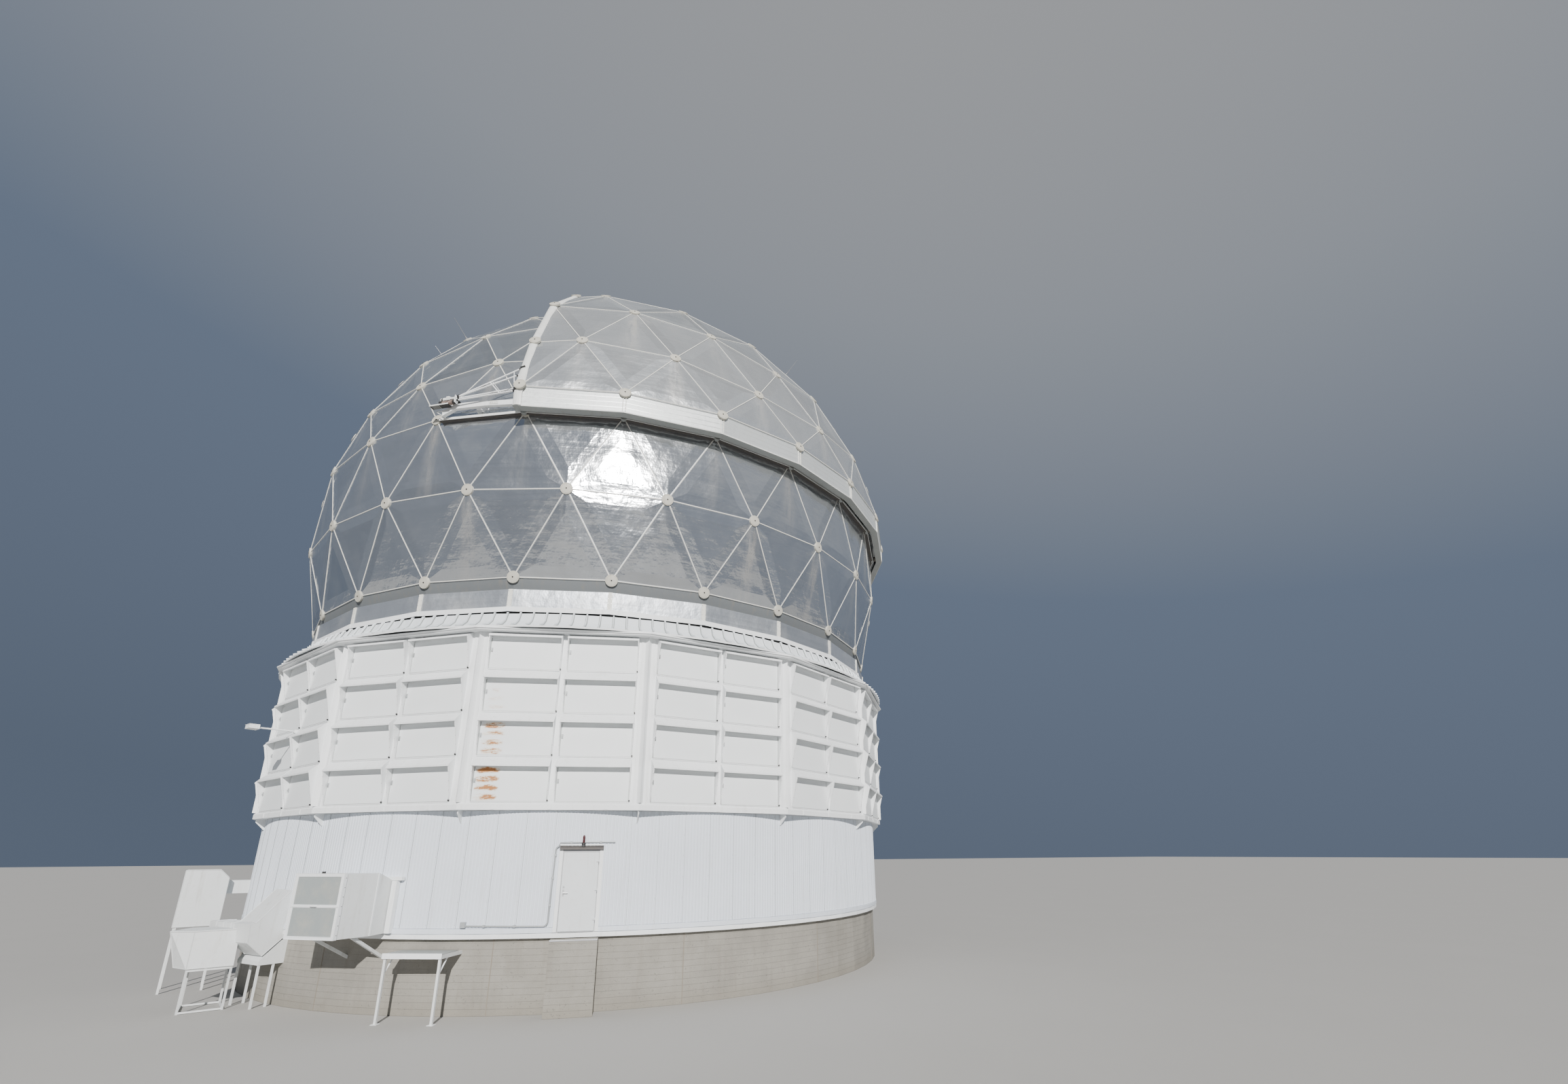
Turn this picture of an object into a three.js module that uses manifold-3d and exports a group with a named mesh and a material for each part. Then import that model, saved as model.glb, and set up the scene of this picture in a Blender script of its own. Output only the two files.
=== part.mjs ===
// Rotating observatory dome on a louvred drum: geodesic dome, outer shutter that turns about the
// same vertical axis, skirt roof, sixteen-sided louvre band, round drum, hinged door and air plant.
// Units are millimetres, +Z is up, z = 0 is the lowest ground at the foundation.
// Azimuth is measured from -Y towards +X.
import * as THREE from 'three';
import Module from 'manifold-3d';
import { mergeVertices } from 'three/addons/utils/BufferGeometryUtils.js';

const wasm = await Module();
wasm.setup();

// Driving dimensions
const GAP = 0.3; // joint line between pieces that touch

const DOME_CENTRE_Z = 16753;
const DOME_R = 13000;
const DOME_SHELL = 120;
const MODULES = 25;
const MODULE_DEG = 360 / MODULES;
const HUB_PHASE_DEG = -58.75; // azimuth of hub line 0
const RING_B = [12270, 12460];
const RING_C = [12920, 15320];
const RING_D = [12920, 18220];

const SHUTTER_R = 13700;
const SHUTTER_SHELL = 120;
const SHUTTER_FOOT = [13550, 18760];
const SHUTTER_FIRST = 3;
const SHUTTER_LAST = 13;
const SHUTTER_EDGE_W = 190;
const SHUTTER_EDGE_LAP = 95;
const CROWN_R = 900;

const KICK_R = 12300;
const KICK_BOTTOM = 11260;
const KICK_TOP = 12030;
const TURN_PLANE_Z = 11190; // top of the fixed rail

const BAND_SIDES = 16;
const BAND_STEP = 360 / BAND_SIDES;
const BAND_CORNER_DEG = -62.83;
const BAND_IN = 12517;
const BAND_OUT = 12773;
const BAND_WALL = 150;
const BAND_BOTTOM = 5220;
const BAND_BASE_TOP = 5425;
const BAND_TOP = 10450;
const LOUVRE_TOP = 10330;
const LOUVRE_PITCH = 1289;
const LOUVRE_OPEN = 1038;
const LOUVRE_ROWS = 4;
const LOUVRE_T0 = 76;
const LOUVRE_T1 = 2204;

const DRUM_R = 12430;
const DRUM_WALL = 200;
const DRUM_BOTTOM = 2000;
const FOUND_R = 12300;
const FOUND_TOP = 1870;

const DOOR_AZ = -2.125;
const DOOR_HALF = 485;
const DOOR_BOTTOM = 2020;
const DOOR_TOP = 4080;
const FRAME_W = 60;

// Finishes
const finish = (hex, roughness, metalness) =>
  new THREE.MeshStandardMaterial({ color: new THREE.Color(hex), roughness, metalness });
const SILVER = finish('#b4b6b6', 0.45, 0.6);
const WHITE = finish('#dcdcd6', 0.5, 0.1);
const CREAM = finish('#e2e0d2', 0.5, 0.1);
const DARK = finish('#3c3e40', 0.6, 0.3);
const CONCRETE = finish('#9a948a', 0.9, 0.0);
const SCREEN = finish('#b9bcb8', 0.8, 0.0);
const STEEL = finish('#8c8f90', 0.4, 0.8);

// Helpers
const rad = (d) => (d * Math.PI) / 180;
const hubAz = (k) => HUB_PHASE_DEG + MODULE_DEG * k;
const at = (r, az, z) => [r * Math.sin(rad(az)), -r * Math.cos(rad(az)), z];
const add = (p, q) => [p[0] + q[0], p[1] + q[1], p[2] + q[2]];
const sub = (p, q) => [p[0] - q[0], p[1] - q[1], p[2] - q[2]];
const scale = (p, s) => [p[0] * s, p[1] * s, p[2] * s];
const cross = (p, q) => [
  p[1] * q[2] - p[2] * q[1],
  p[2] * q[0] - p[0] * q[2],
  p[0] * q[1] - p[1] * q[0],
];
const unit = (p) => scale(p, 1 / Math.hypot(...p));

/** Point given by tangential and radial distance in the plane square to azimuth az. */
const local = (az, t, r, z) => [
  t * Math.cos(rad(az)) + r * Math.sin(rad(az)),
  t * Math.sin(rad(az)) - r * Math.cos(rad(az)),
  z,
];

/** Closed manifold solid from points and triangles, turned outside out if needed. */
function solid(points, triangles) {
  let volume = 0;
  for (const [a, b, c] of triangles) {
    const p = points[a];
    const n = cross(points[b], points[c]);
    volume += p[0] * n[0] + p[1] * n[1] + p[2] * n[2];
  }
  const tris = volume < 0 ? triangles.map(([a, b, c]) => [a, c, b]) : triangles;
  const geometry = new THREE.BufferGeometry();
  geometry.setAttribute('position', new THREE.Float32BufferAttribute(points.flat(), 3));
  geometry.setIndex(tris.flat());
  return toManifold(geometry);
}

function toManifold(geometry) {
  const bare = new THREE.BufferGeometry();
  bare.setAttribute('position', geometry.getAttribute('position'));
  if (geometry.index) bare.setIndex(geometry.index);
  const merged = mergeVertices(bare, 1e-3);
  return new wasm.Manifold(
    new wasm.Mesh({
      numProp: 3,
      vertProperties: new Float32Array(merged.getAttribute('position').array),
      triVerts: new Uint32Array(merged.index.array),
    }),
  );
}

function toGeometry(manifold) {
  const mesh = manifold.getMesh();
  const position = new Float32Array(mesh.numVert * 3);
  for (let i = 0; i < mesh.numVert; i += 1) {
    for (let j = 0; j < 3; j += 1) position[3 * i + j] = mesh.vertProperties[mesh.numProp * i + j];
  }
  const geometry = new THREE.BufferGeometry();
  geometry.setAttribute('position', new THREE.BufferAttribute(position, 3));
  geometry.setIndex(new THREE.BufferAttribute(new Uint32Array(mesh.triVerts), 1));
  const flat = geometry.toNonIndexed();
  flat.computeVertexNormals();
  return flat;
}

/** Joins a list of sections of equal length; flat gives the section's own 2-D outline. */
function loft(sections, flat, closed = false) {
  const n = flat.length;
  const points = sections.flat();
  const tris = [];
  const last = closed ? sections.length : sections.length - 1;
  for (let s = 0; s < last; s += 1) {
    const o = s * n;
    const p = ((s + 1) % sections.length) * n;
    for (let i = 0; i < n; i += 1) {
      const j = (i + 1) % n;
      tris.push([o + i, p + i, p + j], [o + i, p + j, o + j]);
    }
  }
  if (!closed) {
    const outline = flat.map(([x, y]) => new THREE.Vector2(x, y));
    const end = (sections.length - 1) * n;
    const turn = THREE.ShapeUtils.area(outline);
    for (const [a, b, c] of THREE.ShapeUtils.triangulateShape(outline, [])) {
      // the start cap runs the same way round as the outline, the end cap the other way
      const along = THREE.ShapeUtils.area([outline[a], outline[b], outline[c]]) * turn > 0;
      const [p, q] = along ? [b, c] : [c, b];
      tris.push([a, p, q], [end + a, end + q, end + p]);
    }
  }
  return solid(points, tris);
}

/** Sweeps an [r, z] outline about the vertical axis through a list of azimuths. */
const sweep = (outline, azimuths, closed = false, factor = 1) =>
  loft(
    azimuths.map((az) => outline.map(([r, z]) => at(r * factor, az, z))),
    outline,
    closed,
  );

const range = (from, to, count) =>
  Array.from({ length: count + 1 }, (_, i) => from + ((to - from) * i) / count);
const ringAngles = (count, phase = 0) =>
  Array.from({ length: count }, (_, i) => phase + (360 * i) / count);
const ring = (outline, count, phase = 0, factor = 1) =>
  sweep(outline, ringAngles(count, phase), true, factor);
const rect = (r0, r1, z0, z1) => [[r0, z0], [r1, z0], [r1, z1], [r0, z1]];

/** Block in the local frame at azimuth az: tangential, radial and height ranges. */
const block = (az, t0, t1, r0, r1, z0, z1) =>
  loft(
    [z0, z1].map((z) => [[t0, r0], [t1, r0], [t1, r1], [t0, r1]].map(([t, r]) => local(az, t, r, z))),
    [[t0, r0], [t1, r0], [t1, r1], [t0, r1]],
  );

/** Prism in the local frame: [r, z] outline extruded between two tangential positions. */
const prism = (az, t0, t1, outline) =>
  loft(
    [t0, t1].map((t) => outline.map(([r, z]) => local(az, t, r, z))),
    outline,
  );

/** Straight bar or tube between two points with a polygonal section. */
function bar(p, q, radius, sides = 8, turn = 0) {
  const w = unit(sub(q, p));
  const helper = Math.abs(w[2]) > 0.9 ? [1, 0, 0] : [0, 0, 1];
  const u = unit(cross(helper, w));
  const v = cross(w, u);
  const flat = Array.from({ length: sides }, (_, i) => {
    const a = rad(turn + (360 * i) / sides);
    return [radius * Math.cos(a), radius * Math.sin(a)];
  });
  const section = (c) => flat.map(([x, y]) => add(c, add(scale(u, x), scale(v, y))));
  return loft([section(p), section(q)], flat);
}

/** Box between two heights on a four-cornered plan given by xy points. */
const planBox = (corners, z0, z1) =>
  loft([z0, z1].map((z) => corners.map(([x, y]) => [x, y, z])), corners);

const union = (list) => {
  let out = list[0];
  for (const m of list.slice(1)) out = out.add(m);
  return out;
};

const cylinder = (cx, cy, radius, z0, z1, sides = 48) => {
  const flat = ringAngles(sides).map((a) => [
    cx + radius * Math.cos(rad(a)),
    cy + radius * Math.sin(rad(a)),
  ]);
  return planBox(flat, z0, z1);
};

const part = new THREE.Group();
part.name = 'observatory_dome';
function piece(name, manifold, material) {
  const mesh = new THREE.Mesh(toGeometry(manifold), material);
  mesh.name = name;
  part.add(mesh);
}

// Geodesic hubs
const slerp = (p, q, t) => {
  const w = Math.acos(Math.min(1, p[0] * q[0] + p[1] * q[1] + p[2] * q[2]));
  if (w < 1e-9) return p;
  return add(scale(p, Math.sin((1 - t) * w) / Math.sin(w)), scale(q, Math.sin(t * w) / Math.sin(w)));
};
const FREQ = 5;
const onSphere = (lat, k) =>
  [
    Math.cos(rad(lat)) * Math.sin(rad(hubAz(k))),
    -Math.cos(rad(lat)) * Math.cos(rad(hubAz(k))),
    Math.sin(rad(lat)),
  ];
const ICOSA_LAT = 26.565;

/** Rows of directions on one icosahedron face, average of the three ways to divide it. */
function faceRows(P, Q, S) {
  const rows = (a, b, c) =>
    Array.from({ length: FREQ + 1 }, (_, r) => {
      const left = slerp(a, b, r / FREQ);
      const right = slerp(a, c, r / FREQ);
      return Array.from({ length: r + 1 }, (_, i) => (r ? slerp(left, right, i / r) : a));
    });
  const R1 = rows(P, Q, S);
  const R2 = rows(Q, S, P);
  const R3 = rows(S, P, Q);
  return R1.map((row, r) =>
    row.map((a, i) => {
      const r2 = FREQ - (r - i);
      const r3 = FREQ - i;
      const b = R2[r2][r2 > 0 ? FREQ - r : 0];
      const c = R3[r3][r3 > 0 ? r - i : 0];
      return unit(add(add(a, b), c));
    }),
  );
}

const ZENITH = [0, 0, 1];
const faces = Array.from({ length: 5 }, (_, f) =>
  faceRows(ZENITH, onSphere(ICOSA_LAT, 1 + 5 * f), onSphere(ICOSA_LAT, 6 + 5 * f)),
);
const E_LAT = [16.1, 16.1, 18.27, 19.02, 18.27]; // half-integer hubs 0.5, 1.5, 2.5, 3.5, 4.5
const rowE = Array.from({ length: MODULES }, (_, i) => onSphere(E_LAT[i % 5], i + 0.5));
const rowF = Array.from({ length: MODULES }, (_, i) => {
  const f = Math.floor(((i - 1 + MODULES) % MODULES) / 5);
  return faces[f][5][(i - 1 + MODULES) % 5];
});

/** Hub points of a shell of the given radius, with a list of triangles over them. */
function shellMesh(radius, lowRows) {
  const place = (d) => [d[0] * radius, d[1] * radius, DOME_CENTRE_Z + d[2] * radius];
  const points = [];
  const tris = [];
  const push = (p) => points.push(p) - 1;
  const rows = lowRows.map(({ r, z, half }) =>
    Array.from({ length: MODULES }, (_, i) => push(at(r, hubAz(i + (half ? 0.5 : 0)), z))),
  );
  const halves = lowRows.map((row) => row.half);
  rows.push(rowE.map((d) => push(place(d))));
  halves.push(true);
  rows.push(rowF.map((d) => push(place(d))));
  halves.push(false);
  for (let s = 0; s + 1 < rows.length; s += 1) {
    for (let i = 0; i < MODULES; i += 1) {
      const j = (i + 1) % MODULES;
      if (halves[s + 1]) {
        tris.push([rows[s][i], rows[s][j], rows[s + 1][i]], [rows[s][j], rows[s + 1][j], rows[s + 1][i]]);
      } else {
        tris.push([rows[s][i], rows[s + 1][j], rows[s + 1][i]], [rows[s][i], rows[s][j], rows[s + 1][j]]);
      }
    }
  }
  const zenith = push(place(ZENITH));
  const ids = faces.map((face, f) =>
    face.map((row, r) => {
      if (r === 0) return [zenith];
      if (r === FREQ) return row.map((_, i) => rows.at(-1)[(1 + 5 * f + i) % MODULES]);
      return row.map(() => -1);
    }),
  );
  faces.forEach((face, f) => {
    for (let r = 1; r < FREQ; r += 1) {
      for (let i = 0; i < r; i += 1) ids[f][r][i] = push(place(face[r][i]));
    }
  });
  faces.forEach((_, f) => {
    for (let r = 1; r < FREQ; r += 1) ids[f][r][r] = ids[(f + 1) % 5][r][0];
  });
  faces.forEach((_, f) => {
    for (let r = 0; r < FREQ; r += 1) {
      for (let i = 0; i <= r; i += 1) {
        tris.push([ids[f][r][i], ids[f][r + 1][i], ids[f][r + 1][i + 1]]);
        if (i < r) tris.push([ids[f][r][i], ids[f][r + 1][i + 1], ids[f][r][i + 1]]);
      }
    }
  });
  const foot = push([0, 0, lowRows[0].z]);
  for (let i = 0; i < MODULES; i += 1) {
    tris.push([rows[0][(i + 1) % MODULES], rows[0][i], foot]);
  }
  return solid(points, tris);
}

/** Solid bounded by the dome's hub surface moved in or out by offset. */
function domeBody(offset) {
  const s = (DOME_R + offset) / DOME_R;
  const low = (pair, half) => ({ r: pair[0] * s, z: DOME_CENTRE_Z + (pair[1] - DOME_CENTRE_Z) * s, half });
  return shellMesh(DOME_R + offset, [low(RING_B, false), low(RING_C, true), low(RING_D, false)]);
}

/** Solid bounded by the shutter's hub surface moved in or out by offset. */
function shutterBody(offset) {
  const s = (SHUTTER_R + offset) / SHUTTER_R;
  return shellMesh(SHUTTER_R + offset, [
    { r: SHUTTER_FOOT[0] * s, z: DOME_CENTRE_Z + (SHUTTER_FOOT[1] - DOME_CENTRE_Z) * s, half: false },
  ]);
}

/** Vertical wedge between two azimuths (under half a turn), held back from each plane. */
function wedgeAz(a0, a1, z0, z1, back = GAP / 2) {
  const mid = (a0 + a1) / 2;
  const half = rad((a1 - a0) / 2);
  const apex = local(mid, 0, back / Math.sin(half), 0);
  const reach = 16000;
  const corners = [
    [apex[0], apex[1]],
    ...range(a0, a1, 4).map((a) => {
      const p = at(reach, a, 0);
      return [apex[0] + p[0], apex[1] + p[1]];
    }),
  ];
  return planBox(corners, z0, z1);
}
const wedge = (k0, k1, z0, z1, back = GAP / 2) => wedgeAz(hubAz(k0), hubAz(k1), z0, z1, back);
const slab = (z0, z1) => planBox([[-2e4, -2e4], [2e4, -2e4], [2e4, 2e4], [-2e4, 2e4]], z0, z1);

// Foundation and drum
const SMOOTH = 60;
piece('foundation_plinth', cylinder(0, 0, FOUND_R, 0, FOUND_TOP, SMOOTH), CONCRETE);
piece('floor_slab', cylinder(0, 0, DRUM_R - DRUM_WALL - 10, FOUND_TOP + GAP, DRUM_BOTTOM, SMOOTH), CONCRETE);
piece(
  'base_flashing',
  ring(
    [
      [DRUM_R - DRUM_WALL, FOUND_TOP + GAP],
      [DRUM_R + 30, FOUND_TOP + GAP],
      [DRUM_R + 30, DRUM_BOTTOM - 30],
      [DRUM_R + 5, DRUM_BOTTOM],
      [DRUM_R - DRUM_WALL, DRUM_BOTTOM],
    ],
    SMOOTH,
  ),
  DARK,
);

const doorEdge = (DOOR_HALF + FRAME_W) / DRUM_R;
const doorHalfDeg = (doorEdge * 180) / Math.PI;
const drumTop = BAND_BOTTOM - GAP;
const drumRing = ring(rect(DRUM_R - DRUM_WALL, DRUM_R, DRUM_BOTTOM + GAP, drumTop), SMOOTH);
const doorRight = DOOR_AZ + doorHalfDeg;
const doorLeft = DOOR_AZ - doorHalfDeg;
const quarters = [doorRight, 90, 180, 270, 360 + doorLeft];
const doorCut = block(
  DOOR_AZ,
  -DOOR_HALF - FRAME_W - GAP,
  DOOR_HALF + FRAME_W + GAP,
  DRUM_R - 400,
  DRUM_R + 400,
  1000,
  DOOR_TOP + FRAME_W + GAP,
);
for (let i = 0; i < 4; i += 1) {
  const wall = drumRing.intersect(wedgeAz(quarters[i], quarters[i + 1], 0, BAND_TOP));
  piece(`drum_wall_${i + 1}`, wall.subtract(doorCut), WHITE);
}
piece(
  'drum_wall_over_door',
  drumRing.intersect(wedgeAz(doorLeft, doorRight, DOOR_TOP + FRAME_W + GAP, BAND_TOP)),
  WHITE,
);

// Doorway and door
const frameBack = DRUM_R - DRUM_WALL + 20;
const frameFace = DRUM_R + 12;
const leafFace = DRUM_R + 5;
const leafBack = leafFace - 50;
{
  const outer = block(
    DOOR_AZ, -DOOR_HALF - FRAME_W, DOOR_HALF + FRAME_W, frameBack, frameFace,
    DRUM_BOTTOM + GAP, DOOR_TOP + FRAME_W,
  );
  const rebate = block(DOOR_AZ, -DOOR_HALF, DOOR_HALF, leafBack - 8, frameFace + 50, DOOR_BOTTOM, DOOR_TOP);
  const through = block(
    DOOR_AZ, -DOOR_HALF + 22, DOOR_HALF - 22, frameBack - 50, frameFace + 50, DOOR_BOTTOM, DOOR_TOP - 22,
  );
  const knuckles = [DOOR_BOTTOM + 220, DOOR_BOTTOM + 980, DOOR_BOTTOM + 1740];
  const pinT = DOOR_HALF + 4;
  const pinR = frameFace + 20;
  const centre = local(DOOR_AZ, pinT, pinR, 0);
  const frameParts = [outer.subtract(rebate).subtract(through)];
  for (const z of knuckles) {
    frameParts.push(cylinder(centre[0], centre[1], 13, z, z + 55, 12));
    frameParts.push(block(DOOR_AZ, pinT, pinT + 40, frameFace - 2, pinR, z, z + 55));
    frameParts.push(cylinder(centre[0], centre[1], 5, z + 50, z + 90, 8));
  }
  piece('door_frame', union(frameParts), STEEL);
  const leafParts = [
    block(DOOR_AZ, -DOOR_HALF + 6, DOOR_HALF - 6, leafBack, leafFace, DOOR_BOTTOM + 6, DOOR_TOP - 6),
  ];
  for (const z of knuckles) {
    leafParts.push(cylinder(centre[0], centre[1], 13, z + 56, z + 111, 12));
    leafParts.push(block(DOOR_AZ, pinT - 70, pinT, frameFace + 10, frameFace + 24, z + 56, z + 111));
    leafParts.push(block(DOOR_AZ, pinT - 70, pinT - 24, leafFace - 2, frameFace + 12, z + 56, z + 111));
  }
  let leaf = union(leafParts);
  for (const z of knuckles) leaf = leaf.subtract(cylinder(centre[0], centre[1], 5.4, z + 40, z + 96, 8));
  piece('door_leaf', leaf, CREAM);
  const handleZ = DOOR_BOTTOM + 985;
  const handleT = -DOOR_HALF + 75;
  piece(
    'door_handle',
    union([
      block(DOOR_AZ, handleT - 24, handleT + 24, leafFace + GAP, leafFace + 9, handleZ - 90, handleZ + 90),
      bar(local(DOOR_AZ, handleT, leafFace + 8, handleZ), local(DOOR_AZ, handleT, leafFace + 62, handleZ), 11, 12),
      bar(local(DOOR_AZ, handleT - 9, leafFace + 54, handleZ), local(DOOR_AZ, handleT + 125, leafFace + 54, handleZ), 9.5, 12),
    ]),
    STEEL,
  );
}
/** Everything inside the outer faces of the foundation, flashing and drum, grown by the joint line. */
const insideWalls = union([
  ring(rect(9000, FOUND_R + GAP, -100, FOUND_TOP + 100), SMOOTH),
  ring(rect(9000, DRUM_R + 30 + GAP, FOUND_TOP, DRUM_BOTTOM + GAP), SMOOTH),
  ring(rect(9000, DRUM_R + GAP, DRUM_BOTTOM - 50, BAND_BOTTOM), SMOOTH),
]);
piece(
  'door_hood',
  prism(DOOR_AZ, -DOOR_HALF - 110, DOOR_HALF + 110, [
    [DRUM_R - 100, 4150], [DRUM_R + 120, 4150], [DRUM_R + 120, 4178], [DRUM_R, 4250], [DRUM_R - 100, 4250],
  ]).subtract(insideWalls),
  DARK,
);
piece(
  'door_step',
  block(DOOR_AZ, -620, 620, FOUND_R - 100, FOUND_R + 560, 0, FOUND_TOP - 20).subtract(insideWalls),
  CONCRETE,
);

// Louvre band
const cornerFactor = 1 / Math.cos(rad(BAND_STEP / 2));
const corner = (i) => BAND_CORNER_DEG + BAND_STEP * i;
const bandAngles = ringAngles(BAND_SIDES, BAND_CORNER_DEG);
{
  const outer = ring(
    [
      [9000, BAND_BOTTOM], [BAND_IN + 60, BAND_BOTTOM], [BAND_IN + 60, BAND_BASE_TOP - 60],
      [BAND_IN + 10, BAND_BASE_TOP], [9000, BAND_BASE_TOP],
    ],
    BAND_SIDES, BAND_CORNER_DEG, cornerFactor,
  );
  const hole = ring(rect(8000, DRUM_R - DRUM_WALL - 30, BAND_BOTTOM - 500, BAND_BASE_TOP + 500), SMOOTH);
  const bodies = [outer.subtract(hole)];
  for (let i = 0; i < BAND_SIDES; i += 1) {
    bodies.push(
      prism(corner(i), -12, 12, [
        [DRUM_R + GAP, 4900], [DRUM_R + 40, 4880], [12720, 5120], [12720, BAND_BOTTOM + 20], [DRUM_R + GAP, BAND_BOTTOM + 20],
      ]),
    );
  }
  piece('band_base_ring', union(bodies), WHITE);
}

/** One hood with its two cheeks over a louvre panel, on facet azimuth az. */
function hood(az, t0, t1, zt, top) {
  const sheet = 28;
  const foot = BAND_IN - 20;
  const low = zt - LOUVRE_OPEN + 10;
  const slope = (top - zt) / (BAND_OUT - BAND_IN);
  const crest = top + slope * (BAND_IN - foot);
  const cheek = (BAND_OUT - BAND_IN) / (zt - low);
  const outer = prism(az, t0, t1, [[foot, low - (BAND_IN - foot) / cheek], [BAND_OUT, zt], [foot, crest]]);
  const pocket = prism(az, t0 + sheet, t1 - sheet, [
    [foot - 50, low - 900], [BAND_OUT + 60, low - 900], [BAND_OUT + 60, zt - sheet - slope * 60],
    [foot - 50, zt - sheet + slope * (BAND_OUT - foot + 50)],
  ]);
  return outer.subtract(pocket);
}

const WALL_FACETS = 4;
for (let n = 0; n < BAND_SIDES / WALL_FACETS; n += 1) {
  const first = WALL_FACETS * n;
  const corners = Array.from({ length: WALL_FACETS }, (_, i) => corner(first + i));
  const mids = [...corners, corner(first + WALL_FACETS)].map((az) => az - BAND_STEP / 2);
  const z0 = BAND_BASE_TOP + GAP;
  const outline = rect(BAND_IN - BAND_WALL, BAND_IN, z0, BAND_TOP);
  const section = (az, factor) => outline.map(([r, z]) => at(r * factor, az, z));
  // the two end faces are held back by half the joint line
  const held = (az, by) =>
    section(az, 1).map((p) => add(p, scale([Math.cos(rad(az)), Math.sin(rad(az)), 0], by)));
  const sections = [
    held(mids[0], GAP / 2),
    ...corners.map((az) => section(az, cornerFactor)),
    held(mids.at(-1), -GAP / 2),
  ];
  const bodies = [loft(sections, outline)];
  const columns = mids.flatMap((az, i) => [
    ...(i > 0 ? [[az, -LOUVRE_T1, -LOUVRE_T0]] : []),
    ...(i < WALL_FACETS ? [[az, LOUVRE_T0, LOUVRE_T1]] : []),
  ]);
  for (const [az, t0, t1] of columns) {
    for (let row = 0; row < LOUVRE_ROWS; row += 1) {
      const zt = LOUVRE_TOP - LOUVRE_PITCH * row;
      bodies.push(hood(az, t0, t1, zt, row ? zt + LOUVRE_PITCH - LOUVRE_OPEN : BAND_TOP));
    }
  }
  for (const az of corners) {
    const post = [[-95, 12640], [-95, 12738], [-45, 12800], [0, 12872], [45, 12800], [95, 12738], [95, 12640]];
    bodies.push(loft([z0, BAND_TOP].map((z) => post.map(([t, r]) => local(az, t, r, z))), post));
  }
  piece(`louvre_wall_${n + 1}`, union(bodies).intersect(slab(z0, BAND_TOP)), WHITE);
}

// Cornice, skirt roof, fixed rail
{
  const outer = ring(
    [
      [9000, BAND_TOP + GAP], [12830, BAND_TOP + GAP], [12830, 10478], [12880, 10490],
      [12880, 10522], [12800, 10530], [9000, 10530],
    ],
    BAND_SIDES, BAND_CORNER_DEG, cornerFactor,
  );
  const hole = ring(rect(8000, 11640, 9000, 12000), SMOOTH);
  piece('cornice_ring', outer.subtract(hole), WHITE);
}
piece(
  'ring_beam',
  ring(
    [[11650, 10530 + GAP], [12344, 10530 + GAP], [12344, 11150], [12000, 11150], [12000, 10640], [11650, 10640]],
    SMOOTH,
  ),
  STEEL,
);
piece(
  'skirt_roof',
  ring(
    [
      [12344.3, 10960], [12600, 10710], [12990, 10531], [13010, 10575], [12720, 10700], [12500, 10890],
      [12372, 11180], [12344.3, 11180],
    ],
    SMOOTH,
  ),
  SILVER,
);
piece('azimuth_rail', ring(rect(12060, 12200, 11150 + GAP, TURN_PLANE_Z), SMOOTH), STEEL);

// Dome base
const ring25 = ringAngles(MODULES, HUB_PHASE_DEG);
piece(
  'base_rotation_ring',
  ring(
    [
      [11880, TURN_PLANE_Z + GAP], [12190, TURN_PLANE_Z + GAP], [12190, 11330], [12000, 11330], [12000, 11500],
      [11880, 11500],
    ],
    50, HUB_PHASE_DEG,
  ),
  STEEL,
);
{
  const outer = sweep(
    [
      [12110, KICK_BOTTOM], [12360, KICK_BOTTOM], [12360, 11415], [KICK_R, 11425],
      [KICK_R, KICK_TOP], [12110, KICK_TOP],
    ],
    ring25, true,
  );
  const seat = ring(rect(9000, 12190 + GAP, 11000, 11330 + GAP), 50, HUB_PHASE_DEG);
  piece('kick_panels', outer.subtract(seat), SILVER);
}
piece(
  'dome_base_band',
  sweep(
    [
      [11960, KICK_TOP + GAP], [12280, KICK_TOP + GAP], [12280, 12050], [12110, 12062],
      [12262, 12460 - GAP], [12080, 12460 - GAP], [11960, 12200],
    ],
    ring25, true,
  ),
  DARK,
);

// Dome shell
const domeShell = domeBody(0)
  .subtract(domeBody(-DOME_SHELL))
  .subtract(sweep(rect(0.001, 12150, 12000, 12700), ring25, true));
const SPLIT_Z = RING_D[1];
piece('dome_lower_panels', domeShell.intersect(slab(12000, SPLIT_Z - GAP / 2)), SILVER);
const crownHole = cylinder(0, 0, CROWN_R + GAP, 20000, 40000, 40);
for (let i = 0; i < 3; i += 1) {
  const k0 = SHUTTER_LAST + 5 * i;
  const shell = domeShell
    .intersect(wedge(k0, k0 + 5, SPLIT_Z + GAP / 2, 32000))
    .subtract(crownHole);
  piece(`dome_upper_panels_${i + 1}`, shell, SILVER);
}

const ARCH_IN = 12500;
const ARCH_OUT = 12960;
const ARCH_W = 320;
const ARCH_FOOT_Z = 17600;

/** Curved rib in a vertical plane beside hub line k: side -1 towards smaller k. */
function archRib(k, side, rIn, rOut, near, far, zFoot) {
  const az = hubAz(k);
  const footLat = (r) => (Math.asin((zFoot - DOME_CENTRE_Z) / r) * 180) / Math.PI;
  const start = Math.max(footLat(rOut), -1);
  const stations = range(start, 89, 18);
  const flat = [[0, 0], [1, 0], [1, 1], [0, 1]];
  const sections = stations.map((lat) => {
    const c = Math.cos(rad(lat));
    const s = Math.sin(rad(lat));
    return flat.map(([u, v]) => {
      const r = u ? rOut : rIn;
      const t = side * (v ? far : near);
      return local(az, t, r * c, DOME_CENTRE_Z + r * s);
    });
  });
  return loft(sections, flat);
}
const ribCut = (m) => m.subtract(crownHole).intersect(slab(SPLIT_Z + GAP / 2, 32000));
piece(
  'opening_arch_left',
  ribCut(archRib(SHUTTER_FIRST, 1, ARCH_IN, ARCH_OUT, GAP, ARCH_W, ARCH_FOOT_Z)),
  WHITE,
);
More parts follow.
